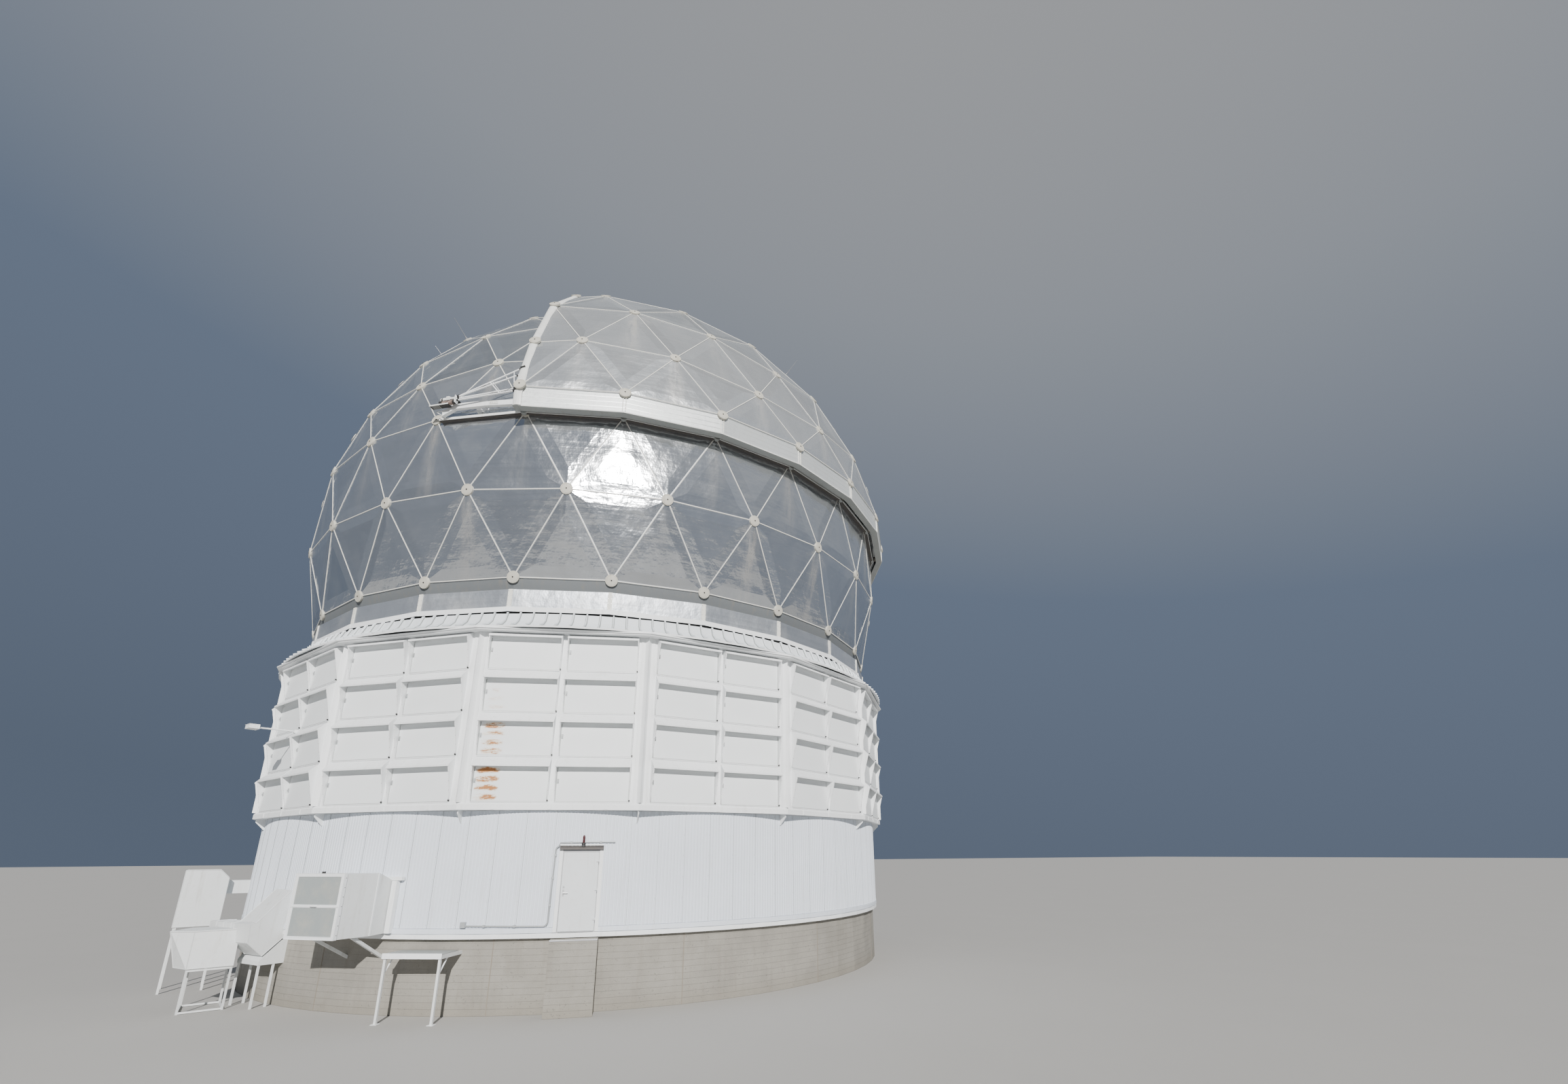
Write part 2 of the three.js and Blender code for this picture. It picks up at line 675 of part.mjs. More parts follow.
piece(
  'opening_arch_right',
  ribCut(archRib(SHUTTER_LAST, -1, ARCH_IN, ARCH_OUT, GAP, ARCH_W, ARCH_FOOT_Z)),
  WHITE,
);
const archSocket = (k, side) =>
  archRib(k, side, ARCH_IN - GAP, ARCH_OUT, 0, ARCH_W + GAP, ARCH_FOOT_Z).intersect(slab(SPLIT_Z, 32000));
piece(
  'dome_ring_beam',
  sweep(rect(12300, 12785, 18020, 18340), ring25, true)
    .intersect(domeBody(-DOME_SHELL - GAP))
    .subtract(archSocket(SHUTTER_FIRST, 1))
    .subtract(archSocket(SHUTTER_LAST, -1)),
  STEEL,
);
const zenithZ = DOME_CENTRE_Z + DOME_R;
piece(
  'dome_crown',
  union([
    cylinder(0, 0, CROWN_R, zenithZ - 420, zenithZ - 10, 40),
    cylinder(0, 0, 300, zenithZ - 20, zenithZ + 120, 24),
    cylinder(0, 0, 120, zenithZ, zenithZ + 540, 24),
  ]),
  STEEL,
);

// Shutter track on the dome
const TRACK_FROM = 2.07;
const TRACK_TO = 23.43;
const RAIL_FROM = 2.28;
const RAIL_TO = 23.22;
const RAIL_TOP = 18510;
const outsideDome = domeBody(GAP * 1.2);
{
  const chord = (k, r, z) => {
    const i = Math.floor(k);
    const p = at(r, hubAz(i), z);
    return add(scale(p, 1 - (k - i)), scale(at(r, hubAz(i + 1), z), k - i));
  };
  const ledge = rect(12700, 13090, 18070, 18140);
  const stations = [TRACK_FROM, ...range(3, 23, 20), TRACK_TO];
  const girder = loft(stations.map((k) => ledge.map(([r, z]) => chord(k, r, z))), ledge);
  piece('shutter_track_girder', girder.subtract(outsideDome), DARK);
}
{
  const parts = [sweep(rect(13100, 13220, RAIL_TOP - 200, RAIL_TOP), range(hubAz(RAIL_FROM), hubAz(RAIL_TO), 63))];
  for (const [from, to] of [[RAIL_FROM, 2.15], [RAIL_TO, 23.35]]) {
    const end = (k, drop) => rect(13100, 13220, RAIL_TOP - 200 - drop, RAIL_TOP - drop).map(([r, z]) => at(r, hubAz(k), z));
    parts.push(loft([end(from, 0), end(to, 200)], rect(13100, 13220, 0, 200)));
  }
  for (let k = 2.5; k < RAIL_TO; k += 0.5) {
    parts.push(prism(hubAz(k), -15, 15, [[12700, 18200], [12980, 18200], [13115, 18340], [13115, 18480], [12700, 18480]]));
  }
  piece('shutter_track_rail', union(parts).subtract(outsideDome), WHITE);
}

// Shutter
const shutterShell = shutterBody(0)
  .subtract(shutterBody(-SHUTTER_SHELL))
  .subtract(sweep(rect(0.001, 13432, 18000, 18800), ring25, true));
for (let i = 0; i < 2; i += 1) {
  const k0 = SHUTTER_FIRST + 5 * i;
  piece(
    `shutter_panels_${i + 1}`,
    shutterShell.intersect(wedge(k0, k0 + 5, SHUTTER_FOOT[1], 32000)).subtract(crownHole),
    SILVER,
  );
}
{
  const azimuths = Array.from({ length: SHUTTER_LAST - SHUTTER_FIRST + 1 }, (_, i) => hubAz(SHUTTER_FIRST + i));
  const skirt = sweep(
    [
      [13250, 18010], [13530, 18010], [13530, SHUTTER_FOOT[1] - GAP], [13460, SHUTTER_FOOT[1] - GAP],
      [13460, 18060], [13250, 18060],
    ],
    azimuths,
  ).intersect(wedge(SHUTTER_FIRST, SHUTTER_LAST, 17000, 20000, GAP));
  const parts = [skirt];
  for (let k = SHUTTER_FIRST; k <= SHUTTER_LAST; k += 1) {
    const shift = k === SHUTTER_FIRST ? 160 : k === SHUTTER_LAST ? -160 : 0;
    const axle = (r) => local(hubAz(k), shift, r, RAIL_TOP - 320);
    parts.push(bar(axle(13130), axle(13215), 119.7, 16, 90), bar(axle(13200), axle(13290), 45, 12));
    parts.push(block(hubAz(k), shift - 70, shift + 70, 13245, 13275, 18020, RAIL_TOP - 250));
  }
  piece('shutter_skirt', union(parts), SILVER);
}

/** Where the meridian of hub line k crosses the shutter's rows of hubs, as [r, z] from the foot up. */
function edgeLine(k) {
  const tangential = (p) => p[0] * Math.cos(rad(hubAz(k))) + p[1] * Math.sin(rad(hubAz(k)));
  const crossing = (a, b) => {
    const share = tangential(a) / (tangential(a) - tangential(b));
    const p = add(scale(a, 1 - share), scale(b, share));
    return [SHUTTER_R * Math.hypot(p[0], p[1]), DOME_CENTRE_Z + SHUTTER_R * p[2]];
  };
  const line = [SHUTTER_FOOT, crossing(rowE[k - 1], rowE[k])];
  for (const row of faces[Math.floor((k - 1) / 5)].slice(1).reverse()) {
    const i = row.findIndex((p, n) => n + 1 < row.length && tangential(p) <= 0 && tangential(row[n + 1]) > 0);
    line.push(crossing(row[i], row[i + 1]));
  }
  const [r, z] = line.at(-1);
  const share = 240 / r;
  return [...line, [240, z * share + (DOME_CENTRE_Z + SHUTTER_R) * (1 - share)]];
}

/** Rounded beam with straight runs along the edge of the shutter at hub line k, with its lap over the panels. */
function edgeBeam(k, side, grow = 0) {
  const az = hubAz(k);
  const w = SHUTTER_EDGE_W + grow;
  const lap = SHUTTER_EDGE_LAP;
  const deep = -500 - grow;
  const high = 58 + grow;
  const flat = [
    [deep, GAP - grow], [deep, w - 60], [deep + 60, w], [-60, w], [-8, w - 18], [high - 22, w - 68],
    [high, w / 2 - lap / 2], [high - 22, 60 - lap], [4, -lap], [-30, -lap], [-30, GAP - grow],
  ];
  const upright = (z, low, top) =>
    flat.map(([d, t]) => local(az, side * t, low + ((top - low) * (d - deep)) / (high - deep), z));
  const line = edgeLine(k);
  const normals = line.slice(1).map(([r, z], i) => {
    const [dr, dz] = [r - line[i][0], z - line[i][1]];
    const length = Math.hypot(dr, dz);
    return [dz / length, -dr / length];
  });
  const sections = [upright(18010, 13262, 13592), upright(18450, 13345, 13600)];
  line.forEach(([r, z], i) => {
    const before = i ? normals[i - 1] : [1, 0];
    const after = normals[Math.min(i, normals.length - 1)];
    const share = 1 + before[0] * after[0] + before[1] * after[1];
    const out = [(before[0] + after[0]) / share, (before[1] + after[1]) / share];
    sections.push(flat.map(([d, t]) => local(az, side * t, r + d * out[0], z + d * out[1])));
  });
  const overPanels = block(az, ...(side < 0 ? [-GAP, 400] : [-400, GAP]), 0, 14200, 17900, 31000);
  const [footR, footZ] = SHUTTER_FOOT;
  const panels = union([
    shutterBody(GAP),
    sweep(rect(0.001, 13530 + GAP, 17950, footZ), ring25, true),
    sweep(rect(0.001, footR + 1, footZ - 2, footZ + 2), ring25, true),
  ]);
  return loft(sections, flat).subtract(panels.intersect(overPanels)).subtract(crownHole);
}
piece('shutter_edge_beam_left', edgeBeam(SHUTTER_FIRST, -1), CREAM);
piece('shutter_edge_beam_right', edgeBeam(SHUTTER_LAST, 1), CREAM);
{
  const top = DOME_CENTRE_Z + SHUTTER_R;
  const crown = ring(
    [[0.001, top - 260], [CROWN_R, top - 260], [CROWN_R, top - 60], [CROWN_R - 120, top - 10], [0.001, top + 20]],
    40,
  );
  piece(
    'shutter_crown',
    crown.subtract(cylinder(0, 0, 126, top - 900, top - 140, 24)),
    SILVER,
  );
}

// Shutter drive beside the left edge
{
  const spot = (t, r, z) => local(hubAz(2.23), t, r, z);
  const box = (...sizes) => block(hubAz(2.23), ...sizes);
  const motor = union([
    bar(spot(-270, 13330, 18600), spot(270, 13330, 18600), 75, 16),
    bar(spot(-250, 13370, 18450), spot(250, 13370, 18450), 68, 16),
    bar(spot(-285, 13370, 18450), spot(-245, 13370, 18450), 88, 16),
    box(-170, 210, 13300, 13400, 18440, 18610),
    box(-640, 60, 13250, 13440, 18365, 18390),
    bar(spot(245, 13110, RAIL_TOP + 60), spot(245, 13200, RAIL_TOP + 60), 59.7, 16, 90),
    box(230, 260, 13190, 13330, RAIL_TOP + 45, RAIL_TOP + 80),
  ]);
  piece('shutter_drive_motor', motor, DARK);
  const beam = (t, r, z) => local(hubAz(SHUTTER_FIRST), t, r, z);
  const truss = union([
    box(270 + GAP, 298, 13280, 13430, 18420, 18690),
    bar(spot(284, 13350, 18650), beam(-100, 13300, 19695), 28, 8),
    bar(spot(284, 13380, 18620), beam(-140, 13362, 19370), 28, 8),
    bar(spot(284, 13350, 18590), beam(-150, 13430, 18765), 28, 8),
    bar(spot(284, 13380, 18500), beam(-150, 13455, 18660), 28, 8),
  ]);
  piece('shutter_drive_truss', truss.subtract(edgeBeam(SHUTTER_FIRST, -1, GAP)), STEEL);
}

// Air intake on the drum
const INTAKE_AZ = -30.1;
const INTAKE_FRONT = 13890;
const INTAKE_MID = 12960;
const INTAKE_Z = [2000, 3570];
{
  const duct = (wall, long) => {
    const sections = [
      [INTAKE_FRONT + long, 778, INTAKE_Z[0], INTAKE_Z[1]],
      [INTAKE_MID, 930, INTAKE_Z[0], INTAKE_Z[1]],
      [DRUM_R - 150 - long, 930, INTAKE_Z[0] + 30, 3290],
    ].map(([r, half, z0, z1]) =>
      [[-1, z0], [1, z0], [1, z1], [-1, z1]].map(([side, z]) =>
        local(INTAKE_AZ, side * (half - wall), r, z === z0 ? z + wall : z - wall)),
    );
    return loft(sections, [[-1, 0], [1, 0], [1, 1], [-1, 1]]);
  };
  let screens = block(
    INTAKE_AZ, -778, 778, INTAKE_FRONT + GAP, INTAKE_FRONT + 40, INTAKE_Z[0], INTAKE_Z[1],
  );
  const middle = (INTAKE_Z[0] + INTAKE_Z[1]) / 2;
  for (const [z0, z1] of [[INTAKE_Z[0] + 55, middle - 25], [middle + 25, INTAKE_Z[1] - 55]]) {
    screens = screens.subtract(block(INTAKE_AZ, -723, 723, INTAKE_FRONT + 18, INTAKE_FRONT + 90, z0, z1));
  }
  piece('intake_screens', screens, SCREEN);
  const below = slab(-100, INTAKE_Z[0] + 20);
  const strut = (t, az, z) =>
    bar(local(INTAKE_AZ, t, 13420, 2060), at(FOUND_R - 80, az, z), 52, 4, 45).intersect(below);
  const hoodParts = [duct(0, 0).subtract(duct(35, 60)), strut(-700, -31.87, 1340), strut(740, -26.65, 1380)];
  piece('intake_hood', union(hoodParts).subtract(insideWalls), WHITE);
}

// Air plant beside the wall
const ELBOW_AZ = -44.3;
const SUPPLY = [[12750, 1750], [13250, 1750], [13250, 2200], [12750, 2200]];
const ELBOW = [
  [12200, 1880], [12430, 1775], [12880, 1340], [13300, 1710], [13330, 2200], [13180, 2240], [12430, 3080],
  [12200, 3080],
];
const grown = (outline, by) => {
  const cx = outline.reduce((sum, [r]) => sum + r, 0) / outline.length;
  const cz = outline.reduce((sum, [, z]) => sum + z, 0) / outline.length;
  return outline.map(([r, z]) => [r + Math.sign(r - cx) * by, z + Math.sign(z - cz) * by]);
};
piece(
  'elbow_duct',
  union([
    prism(ELBOW_AZ, -950, 0, ELBOW),
    prism(ELBOW_AZ, -2600, -940, SUPPLY),
  ]).subtract(insideWalls),
  WHITE,
);
{
  const legs = [[-1170, 12885], [-1170, 12560], [-35, 12885], [-35, 12520]].map(([t, r]) =>
    block(ELBOW_AZ, t - 25, t + 25, r - 25, r + 25, 0, 1120));
  const box = prism(ELBOW_AZ, -1205, 5, [
    [12200, 1100], [12925, 1100], [12925, 1210], [12850, 1290], [12430, 1710], [12200, 1760],
  ]);
  piece('plenum_box', union([box, ...legs]).subtract(insideWalls), WHITE);
}
{
  // scoop on a frame in front of the supply duct, plan corners in metres from the axis
  const top = [[-9760, -8960], [-10650, -9420], [-11310, -9230], [-11240, -8240], [-10200, -7900]];
  const low = [[-9700, -9050], [-10610, -9500], [-11150, -9000], [-11100, -8300], [-10250, -7950]];
  const raise = (list, z) => list.map(([x, y]) => [x, y, z]);
  const scoop = loft([raise(low, 1100), raise(top, 2060)], low);
  piece('stand_hood', scoop
    .subtract(prism(ELBOW_AZ, -2601, -940, grown(SUPPLY, GAP)))
    .subtract(prism(ELBOW_AZ, -950 - GAP, 0, grown(ELBOW, GAP)))
    .subtract(insideWalls), WHITE);
  const feet = [low[0], low[1], low[3], low[4]].map(([x, y]) => {
    const inward = [(-10560 - x) * 0.06, (-8680 - y) * 0.06];
    return [x + inward[0], y + inward[1]];
  });
  const tube = 30;
  const posts = feet.map(([x, y]) => cylinder(x, y, tube, 0, 1100 - GAP, 4));
  const rails = feet.map(([x, y], i) => {
    const [u, v] = feet[(i + 1) % feet.length];
    return [bar([x, y, 35], [u, v, 35], tube, 4, 45), bar([x, y, 1060], [u, v, 1060], tube, 4, 45)];
  });
  piece('stand_frame', union([...posts, ...rails.flat()]), WHITE);
}
const EXHAUST_AZ = -66;
{
  const shell = prism(EXHAUST_AZ, -1000, 210, [
    [13040, 1900], [14180, 1900], [14180, 3600], [13300, 3600], [13040, 3350],
  ]);
  const legs = [[-950, 14130], [160, 14130], [-950, 13090], [160, 13090]].map(([t, r]) =>
    block(EXHAUST_AZ, t - 30, t + 30, r - 30, r + 30, 0, 1950));
  const duct = block(EXHAUST_AZ, -750, -100, 12300, 13060, 2850, 3260);
  piece('exhaust_hood', union([shell, duct, ...legs]).subtract(insideWalls), WHITE);
}

// Service platform and floodlight
{
  const az = -19.5;
  const deck = block(az, -790, 790, 12460, 13240, 1572, 1600);
  const frame = [
    block(az, -790, 790, 13180, 13240, 1500, 1580),
    block(az, -790, 790, 12460, 12520, 1500, 1580),
    block(az, -790, -730, 12200, 13240, 1500, 1580),
    block(az, 730, 790, 12200, 13240, 1500, 1580),
  ];
  const legs = [[-735, 13185], [735, 13185]].map(([t, r]) => block(az, t - 30, t + 30, r - 30, r + 30, 0, 1520));
  piece('service_platform', union([deck, ...frame, ...legs]).subtract(insideWalls), WHITE);
}
{
  const az = corner(1) - BAND_STEP / 2;
  const z = 7920;
  piece(
    'floodlight_arm',
    union([
      block(az, -50, 50, BAND_IN + GAP, BAND_IN + 12, z - 90, z + 90),
      bar(local(az, 0, BAND_IN + 5, z), local(az, 0, 13750, z - 20), 24, 10),
      block(az, -190, 190, 13700, 13960, z - 75, z + 45),
    ]),
    WHITE,
  );
}

export default part;
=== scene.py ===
"""Finishes and fittings of the rotating observatory dome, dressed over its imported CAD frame.

Metres, +Z up, z = 0 at the lowest ground. Azimuth runs from -Y towards +X.
"""

from __future__ import annotations

import logging
import math
import random
from collections.abc import Callable, Iterable, Iterator, Mapping, Sequence
from dataclasses import dataclass, field
from enum import Enum
from typing import Any, NamedTuple

import bmesh
import bpy
from mathutils import Matrix, Vector, noise


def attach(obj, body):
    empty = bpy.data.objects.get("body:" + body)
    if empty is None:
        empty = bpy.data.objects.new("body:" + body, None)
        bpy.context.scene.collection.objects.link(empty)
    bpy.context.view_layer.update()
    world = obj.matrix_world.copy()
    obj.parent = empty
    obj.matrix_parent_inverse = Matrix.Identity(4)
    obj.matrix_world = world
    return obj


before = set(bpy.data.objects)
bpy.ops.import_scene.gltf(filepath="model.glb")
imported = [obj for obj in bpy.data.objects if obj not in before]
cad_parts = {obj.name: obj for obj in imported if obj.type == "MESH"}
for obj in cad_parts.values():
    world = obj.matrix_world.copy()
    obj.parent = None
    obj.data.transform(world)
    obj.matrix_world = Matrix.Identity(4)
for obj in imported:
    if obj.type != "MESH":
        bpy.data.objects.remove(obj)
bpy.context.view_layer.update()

LOG = logging.getLogger("observatory")

Colour = tuple[float, float, float]
Span = tuple[float, float]
Spot = tuple[float, float, float]
Outline = Sequence[Span]
Spans = tuple[Span, ...]
Grid = tuple[int, int]
Run = tuple[float, float, int]
Places = tuple[float, ...]
Spots = tuple[Spot, ...]
Collar = tuple[float, float, float]
Brace = tuple[int, float, int, float, float, int]

# Driving dimensions, the same as the frame's
DOME_CENTRE_Z = 16.753
DOME_R = 13.0
SHUTTER_R = 13.7
MODULES = 25
MODULE_DEG = 360 / MODULES
HUB_PHASE_DEG = -58.75
FREQUENCY = 5
ICOSA_LAT = 26.565
RING_B = (12.27, 12.46)
RING_C = (12.92, 15.32)
RING_D = (12.92, 18.22)
RING_E_LATS = (16.1, 16.1, 18.27, 19.02, 18.27)
SHUTTER_FOOT = (13.55, 18.76)
SHUTTER_FIRST, SHUTTER_LAST = 3, 13
SHUTTER_LINES = range(SHUTTER_FIRST, SHUTTER_LAST + 1)
CROWN_R = 0.9
ROW_CLIMB, ROW_GAP = 0.25, 0.5
TINY = 1e-9
TRACK_FROM, TRACK_TO = 2.07, 23.43
TRACK_LINES = range(3, 24)
LEDGE_R, LEDGE_LOW = 13.09, 18.07
RAIL_FROM, RAIL_TO = 2.28, 23.22
RAIL_OUT = 13.22
SOFFIT_IN = 13.25
ROLLER_R, ROLLER_Z = 0.1197, 18.19
BAND_SIDES = 16
BAND_STEP = 360 / BAND_SIDES
BAND_CORNER_DEG = -62.83
BAND_IN, BAND_OUT = 12.517, 12.773
BAND_DEPTH = BAND_OUT - BAND_IN
BAND_BOTTOM, BAND_BASE_TOP, BAND_TOP = 5.22, 5.425, 10.45
LOUVRE_TOP, LOUVRE_PITCH, LOUVRE_OPEN = 10.33, 1.289, 1.038
LOUVRE_T0, LOUVRE_T1 = 0.076, 2.204
LOUVRE_WIDTH = LOUVRE_T1 - LOUVRE_T0
LOUVRE_ROWS = 4
DRUM_R = 12.43
DOOR_AZ, DOOR_HALF, DOOR_BOTTOM, DOOR_TOP = -2.125, 0.485, 2.02, 4.08
INTAKE_AZ, INTAKE_FRONT, INTAKE_MID = -30.1, 13.89, 12.96
ELBOW_AZ, EXHAUST_AZ, PLATFORM_AZ = -44.3, -66.0, -19.5
SCREW_R = 0.009


class Body(Enum):
    """The bodies of the frame that a piece can ride on."""

    BUILDING = "building"
    DOME = "dome"
    SHUTTER = "shutter"
    DOOR = "door"


class Slot(Enum):
    """The record's material slots."""

    SILVER = "silver_sheet"
    WHITE = "white_paint"
    CREAM = "cream_paint"
    DARK = "dark_steel"
    STEEL = "grey_steel"
    CONCRETE = "concrete"
    SCREEN = "filter_screen"


class Box(NamedTuple):
    """Tangential, radial and height ranges of a block."""

    t: Span
    r: Span
    z: Span


Boxes = tuple[Box, ...]


class Studs(NamedTuple):
    """Round studs that point outwards: tangential places, radial range, heights and radius."""

    places: Sequence[float]
    r: Span
    heights: Sequence[float]
    size: float = SCREW_R


def hub_azimuth(k: float) -> float:
    """Azimuth of hub line k in degrees."""
    return HUB_PHASE_DEG + MODULE_DEG * k


def band_corner(i: float) -> float:
    """Azimuth of corner post i of the louvre band in degrees."""
    return BAND_CORNER_DEG + BAND_STEP * i


def at(radius: float, azimuth: float, z: float) -> Vector:
    """Point at a radius, azimuth in degrees and height."""
    a = math.radians(azimuth)
    return Vector((radius * math.sin(a), -radius * math.cos(a), z))


def local(azimuth: float, t: float, radius: float, z: float) -> Vector:
    """Point at tangential and radial distances in the plane square to an azimuth."""
    a = math.radians(azimuth)
    return Vector((t * math.cos(a) + radius * math.sin(a), t * math.sin(a) - radius * math.cos(a), z))


def steps(first: float, last: float, count: int) -> list[float]:
    """count + 1 evenly spaced values from first to last."""
    return [first + (last - first) * i / count for i in range(count + 1)]


def full_turn(count: int, shift: float = 0.0) -> list[float]:
    """Azimuths of equal steps all the way round, moved on by a share of a step."""
    return [360 * (i + shift) / count for i in range(count)]


def mirrored(side: int, near: float, far: float) -> Span:
    """Tangential range on one side of a middle line, lower end first."""
    low, high = sorted((side * near, side * far))
    return low, high


def grid_faces(across: int, up: int) -> list[tuple[int, int, int, int]]:
    """Faces over rows of across + 1 points, one row more than up."""
    row = across + 1
    return [(a, a + 1, a + row + 1, a + row) for j in range(up) for a in range(j * row, j * row + across)]


# Shader maths


class Socket:
    """One output of a shader node; arithmetic on it adds Math nodes to its tree."""

    def __init__(self, shader: Shader, output: bpy.types.NodeSocket | None) -> None:
        """Wraps an output of a node in the shader's tree."""
        self.shader = shader
        self.output = output

    def math(self, operation: str, *values: Socket | float) -> Socket:
        """Math node of the given operation on the values."""
        return self.shader.node("ShaderNodeMath", {"operation": operation}, dict(enumerate(values)))

    def __add__(self, other: Socket | float) -> Socket:
        """Sum."""
        return self.math("ADD", self, other)

    def __sub__(self, other: Socket | float) -> Socket:
        """Difference."""
        return self.math("SUBTRACT", self, other)

    def __rsub__(self, other: Socket | float) -> Socket:
        """Difference from a number."""
        return self.math("SUBTRACT", other, self)

    def __mul__(self, other: Socket | float) -> Socket:
        """Product."""
        return self.math("MULTIPLY", self, other)

    def __truediv__(self, other: Socket | float) -> Socket:
        """Quotient."""
        return self.math("DIVIDE", self, other)

    def __abs__(self) -> Socket:
        """Size without sign."""
        return self.math("ABSOLUTE", self)

    __radd__ = __add__
    __rmul__ = __mul__

    def fraction(self) -> Socket:
        """The part after the decimal point."""
        return self.math("FRACT", self)

    def above(self, low: float, high: float) -> Socket:
        """0 below low, 1 above high, smooth between; low may be the larger."""
        settings = {"interpolation_type": "SMOOTHSTEP"}
        swap = low > high
        first, last = (high, low) if swap else (low, high)
        out = self.shader.node("ShaderNodeMapRange", settings, {0: self, 1: first, 2: last})
        return 1 - out if swap else out


class Shader:
    """The node tree of one material or world."""

    def __init__(self, owner: bpy.types.Material | bpy.types.World) -> None:
        """Empties the tree of a material or world."""
        self.owner = owner
        owner.use_nodes = True
        self.tree = owner.node_tree
        self.tree.nodes.clear()

    def node(
        self, kind: str, settings: Mapping[str, Any] | None = None,
        sockets: Mapping[int | str, Any] | None = None, out: int = 0,
    ) -> Socket:
        """Adds one node.

        Args:
            kind: the node's type.
            settings: its properties, or the stops of a ramp; set before the sockets.
            sockets: a value or a Socket for each of its inputs.
            out: which output is returned.

        Returns:
            That output.
        """
        made = self.tree.nodes.new(kind)
        for key, value in (settings or {}).items():
            if key == "stops":
                stops = made.color_ramp.elements
                for i, (place, colour) in enumerate(value):
                    stop = stops[i] if i < 2 else stops.new(place)
                    stop.position, stop.color = place, (*colour, 1)
            else:
                setattr(made, key, value)
        for key, value in (sockets or {}).items():
            if isinstance(value, Socket):
                self.tree.links.new(value.output, made.inputs[key])
            else:
                slot = made.inputs[key]
                slot.default_value = (*value, 1) if slot.type == "RGBA" else value
        return Socket(self, made.outputs[out] if len(made.outputs) else None)

    def point(self) -> Socket:
        """Place on the object, in the frame's metres."""
        return self.node("ShaderNodeTexCoord", out=3)

    def parts(self, vector: Socket) -> tuple[Socket, ...]:
        """The x, y and z of a vector."""
        split = self.node("ShaderNodeSeparateXYZ", sockets={0: vector})
        return tuple(Socket(self, output) for output in split.output.node.outputs)

    def vector(self, x: Any, y: Any, z: Any) -> Socket:
        """Vector of three numbers or sockets."""
        return self.node("ShaderNodeCombineXYZ", sockets={0: x, 1: y, 2: z})

    def wrapped(self) -> tuple[Socket, Socket, Socket]:
        """Distance round the drum, height and distance out, in metres."""
        x, y, z = self.parts(self.point())
        round_about = x.math("ARCTAN2", x, 0 - y) * DRUM_R
        level = {0: self.vector(x, y, 0.0)}
        return round_about, z, self.node("ShaderNodeVectorMath", {"operation": "LENGTH"}, level, out=1)

    def drawn(self, stretch: Spot, detail: float, rough: float = 0.55) -> Socket:
        """Fractal noise with a fineness of its own round the drum, up and outwards."""
        around, up, out = (part * fine for part, fine in zip(self.wrapped(), stretch))
        return self.noise(self.vector(around, up, out), 1.0, detail, rough)

    def noise(self, place: Socket, scale: float, detail: float = 3, rough: float = 0.55) -> Socket:
        """Fractal noise about 0.5 at a place, by fineness, octaves and strength of the fine ones."""
        sockets = {"Vector": place, "Scale": scale, "Detail": detail, "Roughness": rough}
        return self.node("ShaderNodeTexNoise", None, sockets)

    def attribute(self, name: str) -> Socket:
        """A number stored on the mesh."""
        return self.node("ShaderNodeAttribute", {"attribute_name": name}, out=2)

    def mix(self, factor: Socket | float, first: Any, second: Any) -> Socket:
        """Mix of two colours, by the share of the second."""
        return self.node("ShaderNodeMix", {"data_type": "RGBA"}, {0: factor, 6: first, 7: second}, out=2)

    def bump(self, height: Socket, distance: float, strength: float = 1.0) -> Socket:
        """Surface normal from a height between 0 and 1 over the given distance."""
        sockets = {"Strength": strength, "Distance": distance, "Height": height}
        return self.node("ShaderNodeBump", None, sockets)

    def surface(self, **varying: Any) -> bpy.types.Material:
        """Ends the tree in a Principled shader of varying colour, roughness, metallic and normal."""
        names = {"colour": "Base Color"}
        sockets = {names.get(key, key.title()): value for key, value in varying.items()}
        shader = self.node("ShaderNodeBsdfPrincipled", None, sockets)
        self.node("ShaderNodeOutputMaterial", None, {0: shader})
        return self.owner


# Finishes

GRIME: Colour = (0.30, 0.25, 0.18)
RUST: Colour = (0.42, 0.17, 0.05)
RUST_HALO: Colour = (0.76, 0.54, 0.30)
OXIDE: Colour = (0.66, 0.66, 0.64)
# Painted sheen: lightens the folded strips of each panel in place of the light they reflect.
PAINTED_FOLD_SHEEN: Colour = (0.76, 0.77, 0.78)
HUB_WASH: Colour = (0.44, 0.38, 0.29)
RUN_STAIN: Colour = (0.22, 0.20, 0.17)
DAMP: Colour = (0.22, 0.20, 0.16)
CLOTH_DUST: Colour = (0.46, 0.43, 0.37)
LENS_DUST: Colour = (0.5, 0.47, 0.42)
BOARD_HEIGHT = 0.16
WEAVE_PITCH = 0.012


@dataclass(frozen=True)
class Finish:
    """A finish of one slot; the subclasses paint it."""

    name: str
    slot: Slot
    colour: Colour
    roughness: float = 0.5
    metallic: float = 0.0

    def shade(self, factor: float) -> Colour:
        """The finish's colour, lighter or darker by a factor."""
        red, green, blue = (c * factor for c in self.colour)
        return red, green, blue

    def paint(self, s: Shader) -> bpy.types.Material:
        """Builds the nodes; each finish has its own."""
        raise NotImplementedError

    def material(self) -> bpy.types.Material:
        """The finish's material, made once."""
        made = bpy.data.materials.get(self.name)
        return made or self.paint(Shader(bpy.data.materials.new(self.name)))


